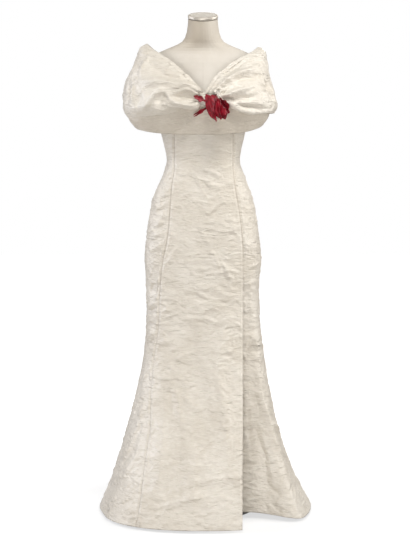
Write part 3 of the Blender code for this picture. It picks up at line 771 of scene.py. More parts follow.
def pleat_cloth(widest):
    heights = np.linspace(0.0, BUST_TOP, int(BUST_TOP / GRID))
    shares = np.linspace(0.0, 1.0, int(widest / GRID))
    rows = []
    for height in heights:
        row = pleated_row(shares, height)
        lift = HEM_HEIGHT + PLEAT_HEM_LIFT * (1 - smoothstep(shares / PLEAT_LIFT_SHARE))
        row[:, 2] += lift * hem_fade(height)
        rows.append(row)
    return Cloth(np.array(rows))


def seam_roll(cloth, edges, rng):
    """The cloth dips into each seam, and the stitches pucker it in uneven steps."""
    width = cloth.across[:, -1:]
    for edge in edges:
        off = cloth.across if edge == "left" else width - cloth.across
        dip = np.exp(-((off / SEAM_ROLL_WIDTH) ** 2))
        phase = np.cumsum(rng.uniform(0.1, 1.9, len(off)))[:, None] * (2 * math.pi * GRID / PUCKER_LENGTH)
        swing = rng.uniform(0.3, 1.0, len(off))
        swing = np.convolve(swing, np.ones(9) / 9, "same")[:, None]
        fade = np.exp(-off / PUCKER_REACH) * (1 - dip)
        strength = zone(cloth.up) * 0.8 + 0.2
        low, high = SEAM_ROLL_FADE
        dip = dip * (0.10 + 0.90 * smoothstep((cloth.up - low) / (high - low)))
        ridge = np.exp(-(((off - SEAM_RIDGE_PLACE) / SEAM_RIDGE_WIDTH) ** 2))
        cloth.creases += -SEAM_ROLL * dip + PUCKER * swing * np.sin(phase + off * 120) * fade * strength
        cloth.creases += SEAM_RIDGE * ridge


def crinkled(cloth, seed, fall, depth):
    rng = np.random.default_rng(seed)

    def mask(_, height):
        return float(zone(np.array(height)))

    large = (0.0008 * depth, 0.0022 * depth)
    middle = (0.0007 * depth, 0.0018 * depth)
    small = (0.0005 * depth, 0.0011 * depth)
    cloth.crumple(rng, 190, (0.06, 0.15), (0.008, 0.014), large, 26, mask, fall)
    cloth.crumple(rng, 1200, (0.028, 0.075), (0.0045, 0.0075), middle, 28, mask, fall)
    cloth.crumple(rng, 3200, (0.014, 0.034), (0.0034, 0.0048), small, 32, mask, fall)
    return rng


# Main creases seen from the front: width, height, and the x and height of each point of the path
FRONT_CREASES = (
    (0.0240, -0.0055, (-0.025, 0.640), (-0.030, 0.560), (-0.010, 0.430), (0.010, 0.280), (0.012, 0.140)),
    (0.0190, 0.0060, (0.072, 0.640), (0.062, 0.560), (0.044, 0.476), (0.068, 0.280), (0.086, 0.120)),
    (0.0200, 0.0055, (-0.112, 0.360), (-0.120, 0.280), (-0.130, 0.160), (-0.138, 0.020)),
    (0.0180, -0.0045, (-0.075, 0.330), (-0.071, 0.220), (-0.072, 0.120), (-0.076, 0.020)),
    (0.0160, 0.0040, (-0.030, 0.260), (-0.026, 0.160), (-0.024, 0.020)),
    (0.0065, 0.0026, (-0.018, 1.084), (0.033, 1.066), (0.089, 1.035)),
    (0.0090, -0.0020, (-0.018, 1.072), (0.030, 1.052), (0.080, 1.020)),
    (0.0065, 0.0026, (-0.018, 1.056), (0.001, 1.009), (0.028, 0.966)),
    (0.0100, -0.0022, (-0.006, 1.050), (0.014, 1.006), (0.040, 0.960)),
    (0.0045, 0.0014, (-0.058, 1.107), (0.006, 1.100), (0.077, 1.094)),
    (0.0045, 0.0014, (-0.046, 1.092), (0.022, 1.084), (0.083, 1.079)),
    (0.0060, 0.0022, (0.066, 0.924), (0.104, 0.919)),
    (0.0060, 0.0018, (-0.019, 0.912), (0.057, 0.922)),
    (0.0075, 0.0028, (-0.008, 0.896), (0.018, 0.850), (0.052, 0.850)),
    (0.0080, 0.0040, (0.019, 0.842), (0.043, 0.793), (0.052, 0.747)),
    (0.0110, -0.0036, (0.026, 0.850), (0.052, 0.795), (0.068, 0.735)),
    (0.0080, 0.0042, (0.030, 0.845), (0.066, 0.775), (0.099, 0.713)),
    (0.0070, 0.0030, (0.066, 0.775), (0.113, 0.755)),
    (0.0085, 0.0036, (-0.080, 0.850), (-0.103, 0.798), (-0.126, 0.762)),
    (0.0120, -0.0028, (-0.064, 0.850), (-0.080, 0.790), (-0.092, 0.740)),
    (0.0070, 0.0026, (0.042, 0.700), (0.117, 0.680)),
    (0.0070, 0.0034, (-0.142, 0.438), (-0.114, 0.438), (-0.083, 0.435)),
    (0.0075, 0.0034, (-0.084, 0.489), (-0.055, 0.510), (0.002, 0.528)),
    (0.0075, 0.0028, (-0.083, 0.489), (-0.039, 0.492), (0.011, 0.497)),
    (0.0100, 0.0042, (-0.093, 0.430), (-0.075, 0.379), (-0.070, 0.312), (-0.091, 0.268)),
    (0.0140, -0.0036, (-0.112, 0.420), (-0.096, 0.370), (-0.092, 0.310)),
    (0.0080, 0.0030, (-0.070, 0.402), (-0.034, 0.366), (0.008, 0.330)),
    (0.0090, 0.0026, (0.076, 0.366), (0.066, 0.304)),
    (0.0080, 0.0034, (-0.054, 0.142), (0.036, 0.152), (0.111, 0.157)),
    (0.0090, 0.0038, (-0.156, 0.059), (-0.039, 0.094), (0.111, 0.113)),
    (0.0080, 0.0030, (-0.099, 0.084), (-0.038, 0.103), (0.012, 0.116)),
    (0.0100, -0.0030, (-0.110, 0.100), (-0.020, 0.128), (0.060, 0.135)),
    (0.0060, 0.0024, (0.068, 0.518), (0.096, 0.515)),
    (0.0090, 0.0026, (-0.130, 0.175), (-0.069, 0.219), (-0.008, 0.234)),
    (0.0080, 0.0022, (-0.041, 0.675), (0.037, 0.657), (0.101, 0.662)),
    (0.0080, 0.0022, (-0.085, 0.608), (-0.009, 0.621), (0.083, 0.597)),
    (0.0090, 0.0026, (-0.020, 0.245), (0.040, 0.262), (0.105, 0.258)),
    (0.0180, -0.0030, (-0.030, 0.980), (-0.020, 0.930), (0.010, 0.880)),
    (0.0200, 0.0030, (0.060, 0.450), (0.080, 0.300), (0.088, 0.180)),
    (0.0200, -0.0026, (0.030, 0.460), (0.050, 0.300), (0.050, 0.180)),
)
LEFT_CREASES = (
    (0.0055, 0.0026, (-0.113, 0.914), (-0.139, 0.904), (-0.161, 0.886)),
    (0.0055, 0.0026, (-0.117, 0.883), (-0.145, 0.870), (-0.167, 0.855)),
    (0.0060, 0.0028, (-0.120, 0.850), (-0.145, 0.834), (-0.170, 0.819)),
    (0.0055, 0.0022, (-0.108, 0.966), (-0.133, 0.955), (-0.155, 0.943)),
    (0.0170, -0.0075, (-0.131, 0.773), (-0.152, 0.721), (-0.168, 0.667)),
    (0.0080, 0.0036, (-0.125, 0.790), (-0.140, 0.735), (-0.145, 0.690)),
    (0.0045, 0.0018, (-0.095, 1.079), (-0.108, 1.066), (-0.114, 1.048)),
    (0.0045, -0.0018, (-0.095, 1.066), (-0.110, 1.050), (-0.117, 1.032)),
    (0.0045, 0.0018, (-0.096, 1.054), (-0.112, 1.036), (-0.122, 1.018)),
    (0.0060, 0.0034, (-0.139, 0.672), (-0.158, 0.657), (-0.175, 0.646)),
    (0.0060, -0.0034, (-0.140, 0.653), (-0.160, 0.640), (-0.176, 0.630)),
    (0.0060, 0.0036, (-0.142, 0.633), (-0.161, 0.621), (-0.177, 0.610)),
    (0.0060, -0.0034, (-0.142, 0.612), (-0.162, 0.597), (-0.178, 0.588)),
    (0.0060, 0.0034, (-0.142, 0.579), (-0.164, 0.559), (-0.179, 0.543)),
    (0.0065, -0.0030, (-0.144, 0.556), (-0.166, 0.536), (-0.182, 0.520)),
    (0.0080, 0.0034, (-0.158, 0.471), (-0.177, 0.440), (-0.193, 0.404)),
    (0.0090, 0.0032, (-0.176, 0.366), (-0.194, 0.312), (-0.219, 0.242)),
    (0.0090, 0.0034, (-0.183, 0.252), (-0.217, 0.183), (-0.261, 0.103)),
    (0.0110, -0.0034, (-0.190, 0.300), (-0.225, 0.210), (-0.262, 0.140)),
)
RIGHT_CREASES = (
    (0.0100, 0.0052, (0.152, 0.530), (0.170, 0.435), (0.204, 0.294), (0.257, 0.152), (0.280, 0.082)),
    (0.0150, -0.0072, (0.147, 0.314), (0.171, 0.232), (0.190, 0.157), (0.202, 0.042)),
    (0.0090, 0.0036, (0.129, 0.435), (0.138, 0.250), (0.152, 0.065)),
    (0.0060, 0.0034, (0.154, 0.572), (0.143, 0.533), (0.136, 0.510)),
    (0.0060, 0.0034, (0.154, 0.572), (0.164, 0.533), (0.177, 0.507)),
    (0.0065, 0.0024, (0.136, 0.979), (0.151, 0.943), (0.161, 0.899)),
    (0.0055, 0.0022, (0.129, 0.773), (0.145, 0.773), (0.171, 0.780)),
    (0.0055, 0.0022, (0.127, 0.718), (0.152, 0.726), (0.174, 0.729)),
    (0.0075, 0.0034, (0.214, 0.239), (0.252, 0.185), (0.280, 0.129)),
    (0.0075, 0.0034, (0.192, 0.332), (0.221, 0.281), (0.246, 0.224)),
    (0.0060, 0.0028, (0.240, 0.210), (0.262, 0.170), (0.290, 0.140)),
    (0.0060, 0.0028, (0.205, 0.300), (0.232, 0.262), (0.256, 0.236)),
)
# The same on the hidden sides: the share of the way across the panel, and the height
BACK_CREASES = (
    (0.0080, 0.0030, (0.20, 1.040), (0.42, 1.010), (0.60, 1.000)),
    (0.0090, 0.0030, (0.70, 0.930), (0.45, 0.900), (0.25, 0.860)),
    (0.0100, -0.0028, (0.30, 0.830), (0.50, 0.800), (0.75, 0.760)),
    (0.0090, 0.0034, (0.18, 0.700), (0.40, 0.690), (0.65, 0.655)),
    (0.0110, -0.0034, (0.85, 0.660), (0.60, 0.600), (0.40, 0.560)),
    (0.0100, 0.0036, (0.25, 0.500), (0.50, 0.470), (0.80, 0.410)),
    (0.0120, 0.0040, (0.78, 0.400), (0.62, 0.320), (0.52, 0.230)),
    (0.0120, 0.0038, (0.20, 0.330), (0.26, 0.230), (0.30, 0.120)),
    (0.0130, -0.0044, (0.40, 0.330), (0.44, 0.200), (0.47, 0.060)),
    (0.0120, 0.0038, (0.90, 0.220), (0.70, 0.150), (0.55, 0.110)),
    (0.0110, 0.0036, (0.15, 0.060), (0.40, 0.090), (0.70, 0.130)),
)


CREASE_DEPTH = 1.25


def place_creases(cloth, creases, seen=True):
    for width, height, *path in creases:
        if seen:
            places = [cloth.seen_at(x, z) for x, z in path]
        else:
            rows, columns = cloth.grid.shape[:2]
            places = [(z / BUST_TOP * (rows - 1), share * (columns - 1)) for share, z in path]
        cloth.fold(places, width, height * CREASE_DEPTH, 0.6, 0.25)


SEAM_STRENGTHS = {
    "front_panel": (FRONT_SEAM, FRONT_SEAM),
    "side_front_left": (OTHER_SEAM, FRONT_SEAM),
    "side_front_right": (FRONT_SEAM, OTHER_SEAM),
    "back_left": (OTHER_SEAM, OTHER_SEAM),
    "back_right": (OTHER_SEAM, OTHER_SEAM),
}
FORM_TOUCH = 0.72
TIGHT_LOW, LOOSE_LOW = -0.0009, -0.007


def painted_seam_shade(cloth, left, right):
    """How strongly each point of the panel and its turned-in edges shows the painted shade of its seams."""
    low, high = SEAM_FAINT
    seam_shade_amounts = left * np.exp(-((cloth.across / SEAM_LINE) ** 2))
    seam_shade_amounts += right * np.exp(-(((cloth.across[:, -1:] - cloth.across) / SEAM_LINE) ** 2))
    seam_shade_amounts *= 0.30 + 0.70 * smoothstep((cloth.up - low) / (high - low))
    turned = len(TURN_IN)
    return np.pad(seam_shade_amounts, ((turned, 0), (turned, turned)), mode="edge")


def finish_panel(name, cloth):
    low = np.where(cloth.up > FORM_TOUCH, TIGHT_LOW, LOOSE_LOW)
    grid = cloth.shaped(low)
    grid = add_turn_in(grid, "right", TURN_IN)
    grid = add_turn_in(grid, "left", TURN_IN)
    grid = add_turn_in(grid, "foot", ((0.0008, 0.0009), (0.005, 0.0016), (0.022, 0.0018)))
    finish = gown_silk if name == "front_panel" else side_silk
    made = sheet_object(f"{name}_silk", grid, finish)
    # How strong the painted seam shade is at each point
    seam_shade_amounts = made.data.attributes.new(SEAM_SHADE_ATTRIBUTE, "FLOAT", "POINT")
    seam_shade_amounts.data.foreach_set("value", painted_seam_shade(cloth, *SEAM_STRENGTHS[name]).ravel())
    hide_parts(name)
    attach(made, "root")
    return made


side = math.pi / 2
panels = {
    "front_panel": gown_cloth(lambda h: seam_angle("left", h), lambda h: seam_angle("right", h), 0.36),
    "side_front_left": gown_cloth(lambda h: -side, lambda h: seam_angle("left", h), 0.36),
    "back_left": gown_cloth(lambda h: -math.pi, lambda h: -side, 0.58, BACK_GRID),
    "back_right": gown_cloth(lambda h: side, lambda h: math.pi, 0.58, BACK_GRID),
    "side_front_right": pleat_cloth(0.52),
}
place_creases(panels["front_panel"], FRONT_CREASES)
place_creases(panels["side_front_left"], LEFT_CREASES)
place_creases(panels["side_front_right"], RIGHT_CREASES)
place_creases(panels["back_left"], BACK_CREASES, seen=False)
place_creases(panels["back_right"], BACK_CREASES, seen=False)
# Seed of the small creases, how far they fall to the right in degrees, and how deep they are
CRINKLES = {
    "front_panel": (11, 2, 1.2),
    "side_front_left": (23, -22, 1.3),
    "side_front_right": (59, 26, 1.3),
    "back_left": (37, 14, 1.2),
    "back_right": (41, -14, 1.2),
}
for name, cloth in panels.items():
    rng = crinkled(cloth, *CRINKLES[name])
    cloth.fade_edges(("left", "right"), SEAM_FADE)
    seam_roll(cloth, ("left", "right"), rng)
    length = 1.31
    sizes = cloth.across[:, -1]
    width = float(sizes.max()) + 0.03
    finish_panel(name, cloth)


# Collar

COLLAR_COLUMNS = 250
COLLAR_ROWS = 110
# The left half lies down on the band over these turns, so that no edge stands off there
LAY_TURNS = (8, 26, 120, 160)
LAY_DOWN = 0.42
LAY_LIFT = 0.0012
LAY_BOW = 0.007
# The neck edge rolls over towards the body
NECK_ROLL = 0.0008
NECK_ROLL_REACH = 0.050
NECK_CALM = 0.022
BACK_SEAM_FADE = 0.025
PEAK_DROP = 0.005
PEAK_TURN = 68
PEAK_SPREAD = 17
NECK_DROP = 0.010
NECK_DROP_TURN = 10
NECK_DROP_SPREAD = 9
# Folds of the collar: width, height, how soon it starts, and each point of its path as the
# turn from the centre front and the share of the way down
LEFT_GATHERS = (
    (0.0180, 0.0065, 0.40, (60, 0.130), (76, 0.110), (92, 0.105), (112, 0.110)),
    (0.0170, -0.0100, 0.30, (16, 0.170), (28, 0.210), (40, 0.215), (52, 0.195), (68, 0.170)),
    (0.0130, 0.0120, 0.05, (3, 0.190), (10, 0.180), (20, 0.230), (32, 0.300), (46, 0.350), (66, 0.350)),
    (0.0120, -0.0110, 0.05, (2, 0.330), (10, 0.430), (18, 0.480), (28, 0.470)),
    (0.0085, 0.0100, 0.05, (1, 0.760), (12, 0.654), (21, 0.522), (25, 0.434), (30, 0.380)),
    (0.0080, 0.0080, 0.20, (27, 0.360), (33, 0.428), (39, 0.585), (43, 0.723), (50, 0.840)),
    (0.0110, -0.0080, 0.25, (25, 0.450), (30, 0.547), (31, 0.700)),
    (0.0110, -0.0090, 0.30, (69, 0.400), (67, 0.509), (71, 0.640)),
    (0.0080, 0.0060, 0.30, (62, 0.380), (60, 0.500), (59, 0.660)),
    (0.0100, 0.0050, 0.30, (61, 0.080), (61, 0.226), (58, 0.340)),
    (0.0120, -0.0060, 0.30, (50, 0.460), (52, 0.580), (56, 0.720)),
    (0.0100, -0.0050, 0.30, (80, 0.160), (86, 0.226), (94, 0.330)),
    (0.0035, 0.0022, 0.05, (3, 0.100), (12, 0.090), (22, 0.110)),
    (0.0035, 0.0026, 0.05, (3, 0.240), (12, 0.270), (20, 0.330)),
    (0.0035, -0.0024, 0.05, (3, 0.210), (11, 0.215), (22, 0.270)),
    (0.0035, 0.0028, 0.05, (2, 0.480), (8, 0.500), (15, 0.520)),
    (0.0040, -0.0026, 0.05, (2, 0.620), (9, 0.600), (17, 0.560)),
    (0.0040, 0.0026, 0.05, (2, 0.880), (12, 0.800), (24, 0.760)),
)
RIGHT_GATHERS = (
    (0.0180, 0.0065, 0.40, (60, 0.130), (76, 0.110), (92, 0.105), (112, 0.110)),
    (0.0085, 0.0085, 0.05, (8, 0.640), (13, 0.572), (22, 0.440), (31, 0.396), (50, 0.409)),
    (0.0100, -0.0095, 0.08, (10, 0.720), (17, 0.623), (28, 0.520), (38, 0.510), (52, 0.480)),
    (0.0080, 0.0070, 0.05, (7, 0.320), (12, 0.258), (24, 0.201), (34, 0.195), (53, 0.235), (76, 0.250)),
    (0.0090, -0.0075, 0.25, (26, 0.280), (36, 0.265), (47, 0.300), (68, 0.325)),
    (0.0080, 0.0080, 0.05, (8, 0.740), (18, 0.850), (26, 0.830), (34, 0.840), (51, 0.840), (72, 0.740)),
    (0.0090, -0.0070, 0.20, (20, 0.700), (32, 0.700), (50, 0.700), (64, 0.650)),
    (0.0080, 0.0060, 0.30, (60, 0.260), (58, 0.403), (60, 0.520)),
    (0.0100, -0.0060, 0.30, (66, 0.340), (66, 0.440), (68, 0.560)),
    (0.0080, 0.0050, 0.30, (72, 0.400), (74, 0.541), (82, 0.648)),
    (0.0110, -0.0055, 0.30, (24, 0.110), (40, 0.100), (56, 0.110)),
    (0.0100, -0.0050, 0.30, (80, 0.200), (86, 0.300), (92, 0.420)),
    (0.0035, 0.0024, 0.05, (6, 0.400), (14, 0.360), (26, 0.330)),
    (0.0035, -0.0024, 0.05, (6, 0.460), (14, 0.420), (24, 0.380)),
    (0.0035, 0.0024, 0.05, (6, 0.180), (13, 0.130), (22, 0.100)),
    (0.0035, 0.0026, 0.05, (8, 0.560), (15, 0.500), (24, 0.480)),
)
# The same for the hidden back of either half
BACK_GATHERS = (
    (0.0110, -0.0070, 0.30, (98, 0.300), (112, 0.420), (128, 0.560)),
    (0.0100, 0.0065, 0.30, (96, 0.460), (112, 0.600), (130, 0.760)),
    (0.0100, 0.0060, 0.20, (176, 0.300), (156, 0.330), (132, 0.400), (112, 0.480)),
    (0.0110, -0.0070, 0.20, (176, 0.440), (156, 0.480), (134, 0.540)),
    (0.0100, 0.0065, 0.20, (176, 0.600), (158, 0.660), (138, 0.720)),
    (0.0090, -0.0050, 0.20, (176, 0.160), (150, 0.170), (120, 0.200)),
)
GATHER_DEPTH = {"left": 1.15, "right": 1.5}
CREASE_FRONT_END = 78
CREASE_FRONT_FADE = 22


def lay_on_band(rails, angle):
    """The left half's lower rails come down onto the band, without the edge of the right."""
    turn = -np.degrees(angle)
    begin, full, still, gone = LAY_TURNS
    share = smoothstep((turn - begin) / (full - begin)) * smoothstep((gone - turn) / (gone - still))
    share = share[:, None]
    foot = band_row(angle, LAY_DOWN)
    out = outwards(foot)
    rails[-1] = rails[-1] * (1 - share) + (foot + out * LAY_LIFT) * share
    middle = (rails[-3] + rails[-1]) / 2 + out * LAY_BOW
    rails[-2] = rails[-2] * (1 - share) + middle * share


def bump_at(x, middle, spread):
    return np.exp(-(((x - middle) / spread) ** 2))


def drape_cloth(side_name):
    first, last = (math.radians(x) for x in DRAPE_SPANS[side_name])
    angle = np.linspace(first, last, COLLAR_COLUMNS)
    rails = drape_rails(side_name, angle)
    if side_name == "left":
        lay_on_band(rails, angle)
    else:
        drop = bump_at(np.degrees(angle), NECK_DROP_TURN, NECK_DROP_SPREAD) * NECK_DROP
        rails[0][:, 2] -= drop
        rails[1][:, 2] -= drop / 2
    turn = np.abs(np.degrees(angle))
    rails[0][:, 2] -= PEAK_DROP * bump_at(turn, PEAK_TURN, PEAK_SPREAD)
    ups = np.linspace(0.0, 1.0, COLLAR_ROWS)
    grid = np.array([spline(rails, 1 - up) for up in ups])
    folds = RIGHT_FOLDS if side_name == "right" else LEFT_FOLDS
    normals = grid_normals(grid)
    normals[..., 0] *= smoothstep(np.minimum(turn, 180 - turn) / SEAM_FACING)
    normals /= np.linalg.norm(normals, axis=-1, keepdims=True)
    for row, up in enumerate(ups):
        down = 1 - up
        pinch = PINCH_DEPTH * np.exp(-((turn / PINCH_WIDTH) ** 2)) * math.sin(math.pi * down)
        settle = smoothstep((1 - down) / FOLD_SETTLE)
        shared = fold_height(turn, down, folds) * settle
        shared *= smoothstep((turn - CREASE_FRONT_END) / CREASE_FRONT_FADE)
        roll = NECK_ROLL * np.clip(1 - down / NECK_ROLL_REACH, 0.0, 1.0) ** 2
        grid[row] += normals[row] * (shared - pinch - roll)[:, None]
    return Cloth(grid, up=arc_up(grid))


def gather(cloth, side_name, gathers):
    first, last = DRAPE_SPANS[side_name]
    hand = -1 if side_name == "left" else 1
    for width, height, rise, *path in gathers:
        places = []
        for turn, down in path:
            share = (hand * turn - first) / (last - first)
            places.append(((1 - down) * (COLLAR_ROWS - 1), share * (COLLAR_COLUMNS - 1)))
        cloth.fold(places, width, height * GATHER_DEPTH[side_name], 0.3, 0.0, rise, 0.45)


def finish_collar(name, cloth, silk):
    grid = cloth.shaped()
    for edge in ("left", "right", "foot", "head"):
        grid = add_turn_in(grid, edge, TURN_IN)
    made = sheet_object(f"{name}_silk", grid, silk)
    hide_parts(name)
    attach(made, "root")
    return made


for side_name, seed in (("left", 71), ("right", 83)):
    cloth = drape_cloth(side_name)
    rng = np.random.default_rng(seed)
    cloth.crumple(rng, 260, (0.05, 0.14), (0.008, 0.014), (0.0013, 0.0034), 40)
    cloth.crumple(rng, 1100, (0.022, 0.065), (0.0045, 0.0075), (0.0007, 0.0019), 45)
    cloth.crumple(rng, 2000, (0.012, 0.030), (0.0034, 0.0048), (0.0004, 0.0009), 55)
    cloth.creases *= smoothstep((cloth.up.max() - cloth.up) / NECK_CALM)
    gather(cloth, side_name, LEFT_GATHERS if side_name == "left" else RIGHT_GATHERS)
    gather(cloth, side_name, BACK_GATHERS)
    cloth.fade_edges((side_name,), BACK_SEAM_FADE)
    finish_collar(
        f"collar_drape_{side_name}", cloth,
        collar_silk,
    )

for name, first, seed in (("collar_band_front", -math.pi / 2, 91), ("collar_band_back", math.pi / 2, 97)):
    angle = np.linspace(first, first + math.pi, 190)
    angle = np.where(angle > math.pi, angle - 2 * math.pi, angle)
    grid = np.array([band_row(angle, 1 - up) for up in np.linspace(0.0, 1.0, 40)])
    cloth = Cloth(grid, up=arc_up(grid))
    rng = np.random.default_rng(seed)
    cloth.crumple(rng, 300, (0.04, 0.10), (0.007, 0.014), (0.0002, 0.0006), 18)
    finish_collar(name, cloth, shaded_band_silk)


# Rose

ROSE_CLOTH = 0.0006
LEAF_SPREAD = 1.35
PETAL_TWIST = 34
# How much of each petal's rim is cut away in a wave, where along the rim, how far its last edge
# flares, and how much its first edge draws back towards the mouth
PETAL_EDGES = (
    (0.0, 0.0, 0.0, 0.0),
    (0.0, 0.0, 0.0, 0.0),
    (0.06, 0.3, 0.001, 0.0),
    (0.08, -0.5, 0.002, 0.0),
    (0.12, 0.5, 0.008, 0.0),
    (0.10, 0.6, 0.002, 0.62),
)
# Folds of the two outer petals: petal, where each lies across at calyx and mouth, width, height
PETAL_FOLDS = (
    (6, 0.66, 0.30, 0.075, 0.0066),
    (6, 0.46, 0.16, 0.065, -0.0070),
    (6, 0.80, 0.44, 0.060, -0.0060),
    (6, 0.94, 0.60, 0.065, 0.0048),
    (6, 0.26, 0.04, 0.070, 0.0044),
    (4, 0.36, 0.46, 0.045, -0.0052),
    (4, 0.44, 0.56, 0.045, 0.0046),
    (4, 0.54, 0.64, 0.040, -0.0044),
    (4, 0.28, 0.32, 0.050, 0.0040),
)
PETAL_COLUMNS = 66
PETAL_ROWS = 48
PETAL_CLOSING = 0.26
PETAL_CORNERS = 0.22
PETAL_CURL = 0.0024
PETAL_RAG = 0.0022
# The rose is fuller to its right, and reaches back over the place where the collar meets
ROSE_SPREAD = 0.34
ROSE_CROWN = 0.012
ROSE_SLIP = (0.0025, 0.0, 0.0)


def rose_frame():
    across = ROSE_AXIS.cross(Vector((0, 0, 1))).normalized()
    return np.array(across), np.array(ROSE_AXIS.cross(across).normalized()), np.array(ROSE_AXIS)


def petal_grid(number):
    turn, half_width, radius, length, flare, ruffle = PETALS[number - 1]
    cut_back, cut_at, edge_flare, draw = PETAL_EDGES[number - 1]
    rng = np.random.default_rng(100 + number)
    first, second, axis = rose_frame()
    across, up = np.meshgrid(np.linspace(0, 1, PETAL_COLUMNS), np.linspace(0, 1, PETAL_ROWS))
    sideways = 2 * across - 1
    wrap = 1 - PETAL_NARROWING * (2 * up - 1) ** 2 - draw * np.clip(-sideways, 0, 1) * smoothstep(up)
    angle = np.radians(turn + half_width * sideways * wrap + PETAL_TWIST * (up - 0.5))
    left_side = np.clip(np.sin(angle), -1, 1)
    swell = np.sin(np.pi / 2 * np.minimum(1.0, up / CALYX_REACH))
    out = radius * (ROSE_CALYX + (1 - ROSE_CALYX) * swell)
    out += flare * smoothstep((up - PETAL_FLARE_START) / (1 - PETAL_FLARE_START))
    out += ruffle * up * np.sin(3 * np.pi * across + turn)
    loose = radius / PETALS[-1][2]
    for petal, low, high, width, rise in PETAL_FOLDS:
        if petal == number:
            bow = 0.06 * np.sin(2 * np.pi * up + 7 * low)
            off = np.abs(across - low - (high - low) * up - bow) / width
            ridge = np.exp(-(off**2)) * 0.5 + np.clip(1 - off, 0, 1) * 0.5
            out += rise * ridge * smoothstep(up / 0.35)
    for _ in range(16):
        place, width = rng.uniform(0.0, 1.0), rng.uniform(0.025, 0.075)
        slope, rise = rng.normal(-0.2, 0.5), rng.uniform(0.0010, 0.0034) * rng.choice((-1, 1))
        off = np.abs(across + slope * (up - 0.5) - place) / width
        ridge = np.exp(-(off**2)) * 0.5 + np.clip(1 - off, 0, 1) * 0.5
        out += rise * loose * ridge * (0.25 + 0.75 * up)
    rim = smoothstep((up - 0.7) / 0.3)
    out += PETAL_CURL * loose * rim * (0.5 + 0.5 * np.sin(7 * np.pi * across + turn))
    out += PETAL_CURL * loose * smoothstep((np.abs(sideways) - 0.82) / 0.18)
    out += edge_flare * smoothstep((sideways - 0.6) / 0.4) * smoothstep((up - 0.3) / 0.4) * (
        1 + 0.6 * np.sin(23 * up)
    )
    out *= 1 - PETAL_CLOSING * (1 + 0.7 * left_side) * smoothstep((up - 0.55) / 0.45) ** 2
    out *= 1 + ROSE_SPREAD * np.clip(-left_side, 0, 1) * smoothstep(up / 0.4)
    along = length * up * (1 - PETAL_ROUNDING * sideways**2 - PETAL_CORNERS * sideways**6)
    along *= 1 - cut_back * np.exp(-(((sideways - cut_at) / 0.4) ** 2))
    ragged = np.sin(5 * np.pi * across + turn * 0.7) + 0.6 * np.sin(13 * np.pi * across + turn)
    along += PETAL_RAG * up**3 * ragged
    along += PETAL_RAG * (1 - up) ** 4 * np.sin(6 * np.pi * across + turn)
    along -= ROSE_CROWN * loose * np.clip(np.cos(angle - 0.7), 0, 1) ** 3 * (1 - up) ** 2
    direction = first * (np.cos(angle) * ROSE_FLATNESS)[..., None] + second * np.sin(angle)[..., None]
    place = np.array(ROSE_BASE) + np.array(ROSE_SLIP)
    return place + axis * along[..., None] + direction * out[..., None]


def leaf_grid(leaf, notch, seed):
    start, tip, width, lift, waist = leaf
    start, tip = Vector(start), Vector(tip)
    sideways = np.array((tip - start).cross(Vector((0, -1, 0))).normalized())
    start, tip = np.array(start), np.array(tip)
    rng = np.random.default_rng(seed)
    across, up = np.meshgrid(np.linspace(0, 1, 28), np.linspace(0, 1, 60))
    shape = waist + (1 - waist) * np.sin(np.pi * smoothstep(up / LEAF_TIP)) ** LEAF_TAPER
    shape = shape * LEAF_SPREAD + 0.22 * np.sin(17 * up) * smoothstep(up / 0.3)
    out = lift * np.sin(np.pi * up) + np.abs(across - 0.5) * LEAF_FOLD * shape
    for _ in range(7):
        place, width_of = rng.uniform(0.1, 0.9), rng.uniform(0.05, 0.14)
        out += rng.uniform(-0.0008, 0.0012) * np.exp(-(((up - place) / width_of) ** 2)) * (across - 0.2)
    along = up * (1 - notch * (1 - np.abs(2 * across - 1)) * smoothstep(up))
    points = start + (tip - start) * along[..., None]
    points += sideways * (width * shape * (across - 0.5))[..., None]
    points[..., 1] -= out
    return points


def add_thickness(made, thickness):
    solidify = made.modifiers.new("cloth", "SOLIDIFY")
    solidify.thickness = thickness
    solidify.offset = -1
    return made


rose_pieces = []
for number, petal in enumerate(PETALS, 1):
    made = add_thickness(sheet_object(f"petal_{number}_silk", petal_grid(number), rose_silk), ROSE_CLOTH)
    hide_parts(f"rose_petal_{number}")
    rose_pieces.append((made, petal[2] * 3.6, petal[3]))
for number, (leaf, notch) in enumerate(zip(LEAVES, (0.0, 0.35)), 1):
    made = add_thickness(
        sheet_object(f"leaf_{number}_silk", leaf_grid(leaf, notch, 120 + number), rose_silk), ROSE_CLOTH
    )
    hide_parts(f"rose_leaf_{number}")
    rose_pieces.append((made, leaf[2] * 1.1 + 0.002, (Vector(leaf[1]) - Vector(leaf[0])).length))
for made, width, length in rose_pieces:
    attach(made, "root")

# Form and stand keep their solids and take finer materials
finishes = {
    "form_torso": linen_material(),
    "neck_cap": cap_material(),
    "stand_base": steel_material(),
}
finishes["stand_pole"] = finishes["stand_socket"] = finishes["stand_base"]
for name, finish in finishes.items():
    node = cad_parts[name]
    for slot in node.material_slots:
        slot.material = finish

# Studio

floor_mesh = bpy.data.meshes.new("floor")
FLOOR_REACH = 9.0
floor_mesh.from_pydata(
    [(-FLOOR_REACH, -FLOOR_REACH, 0), (FLOOR_REACH, -FLOOR_REACH, 0), (FLOOR_REACH, FLOOR_REACH, 0),
     (-FLOOR_REACH, FLOOR_REACH, 0)],
    [],
    [(0, 1, 2, 3)],
)
floor = bpy.data.objects.new("floor", floor_mesh)
bpy.context.scene.collection.objects.link(floor)
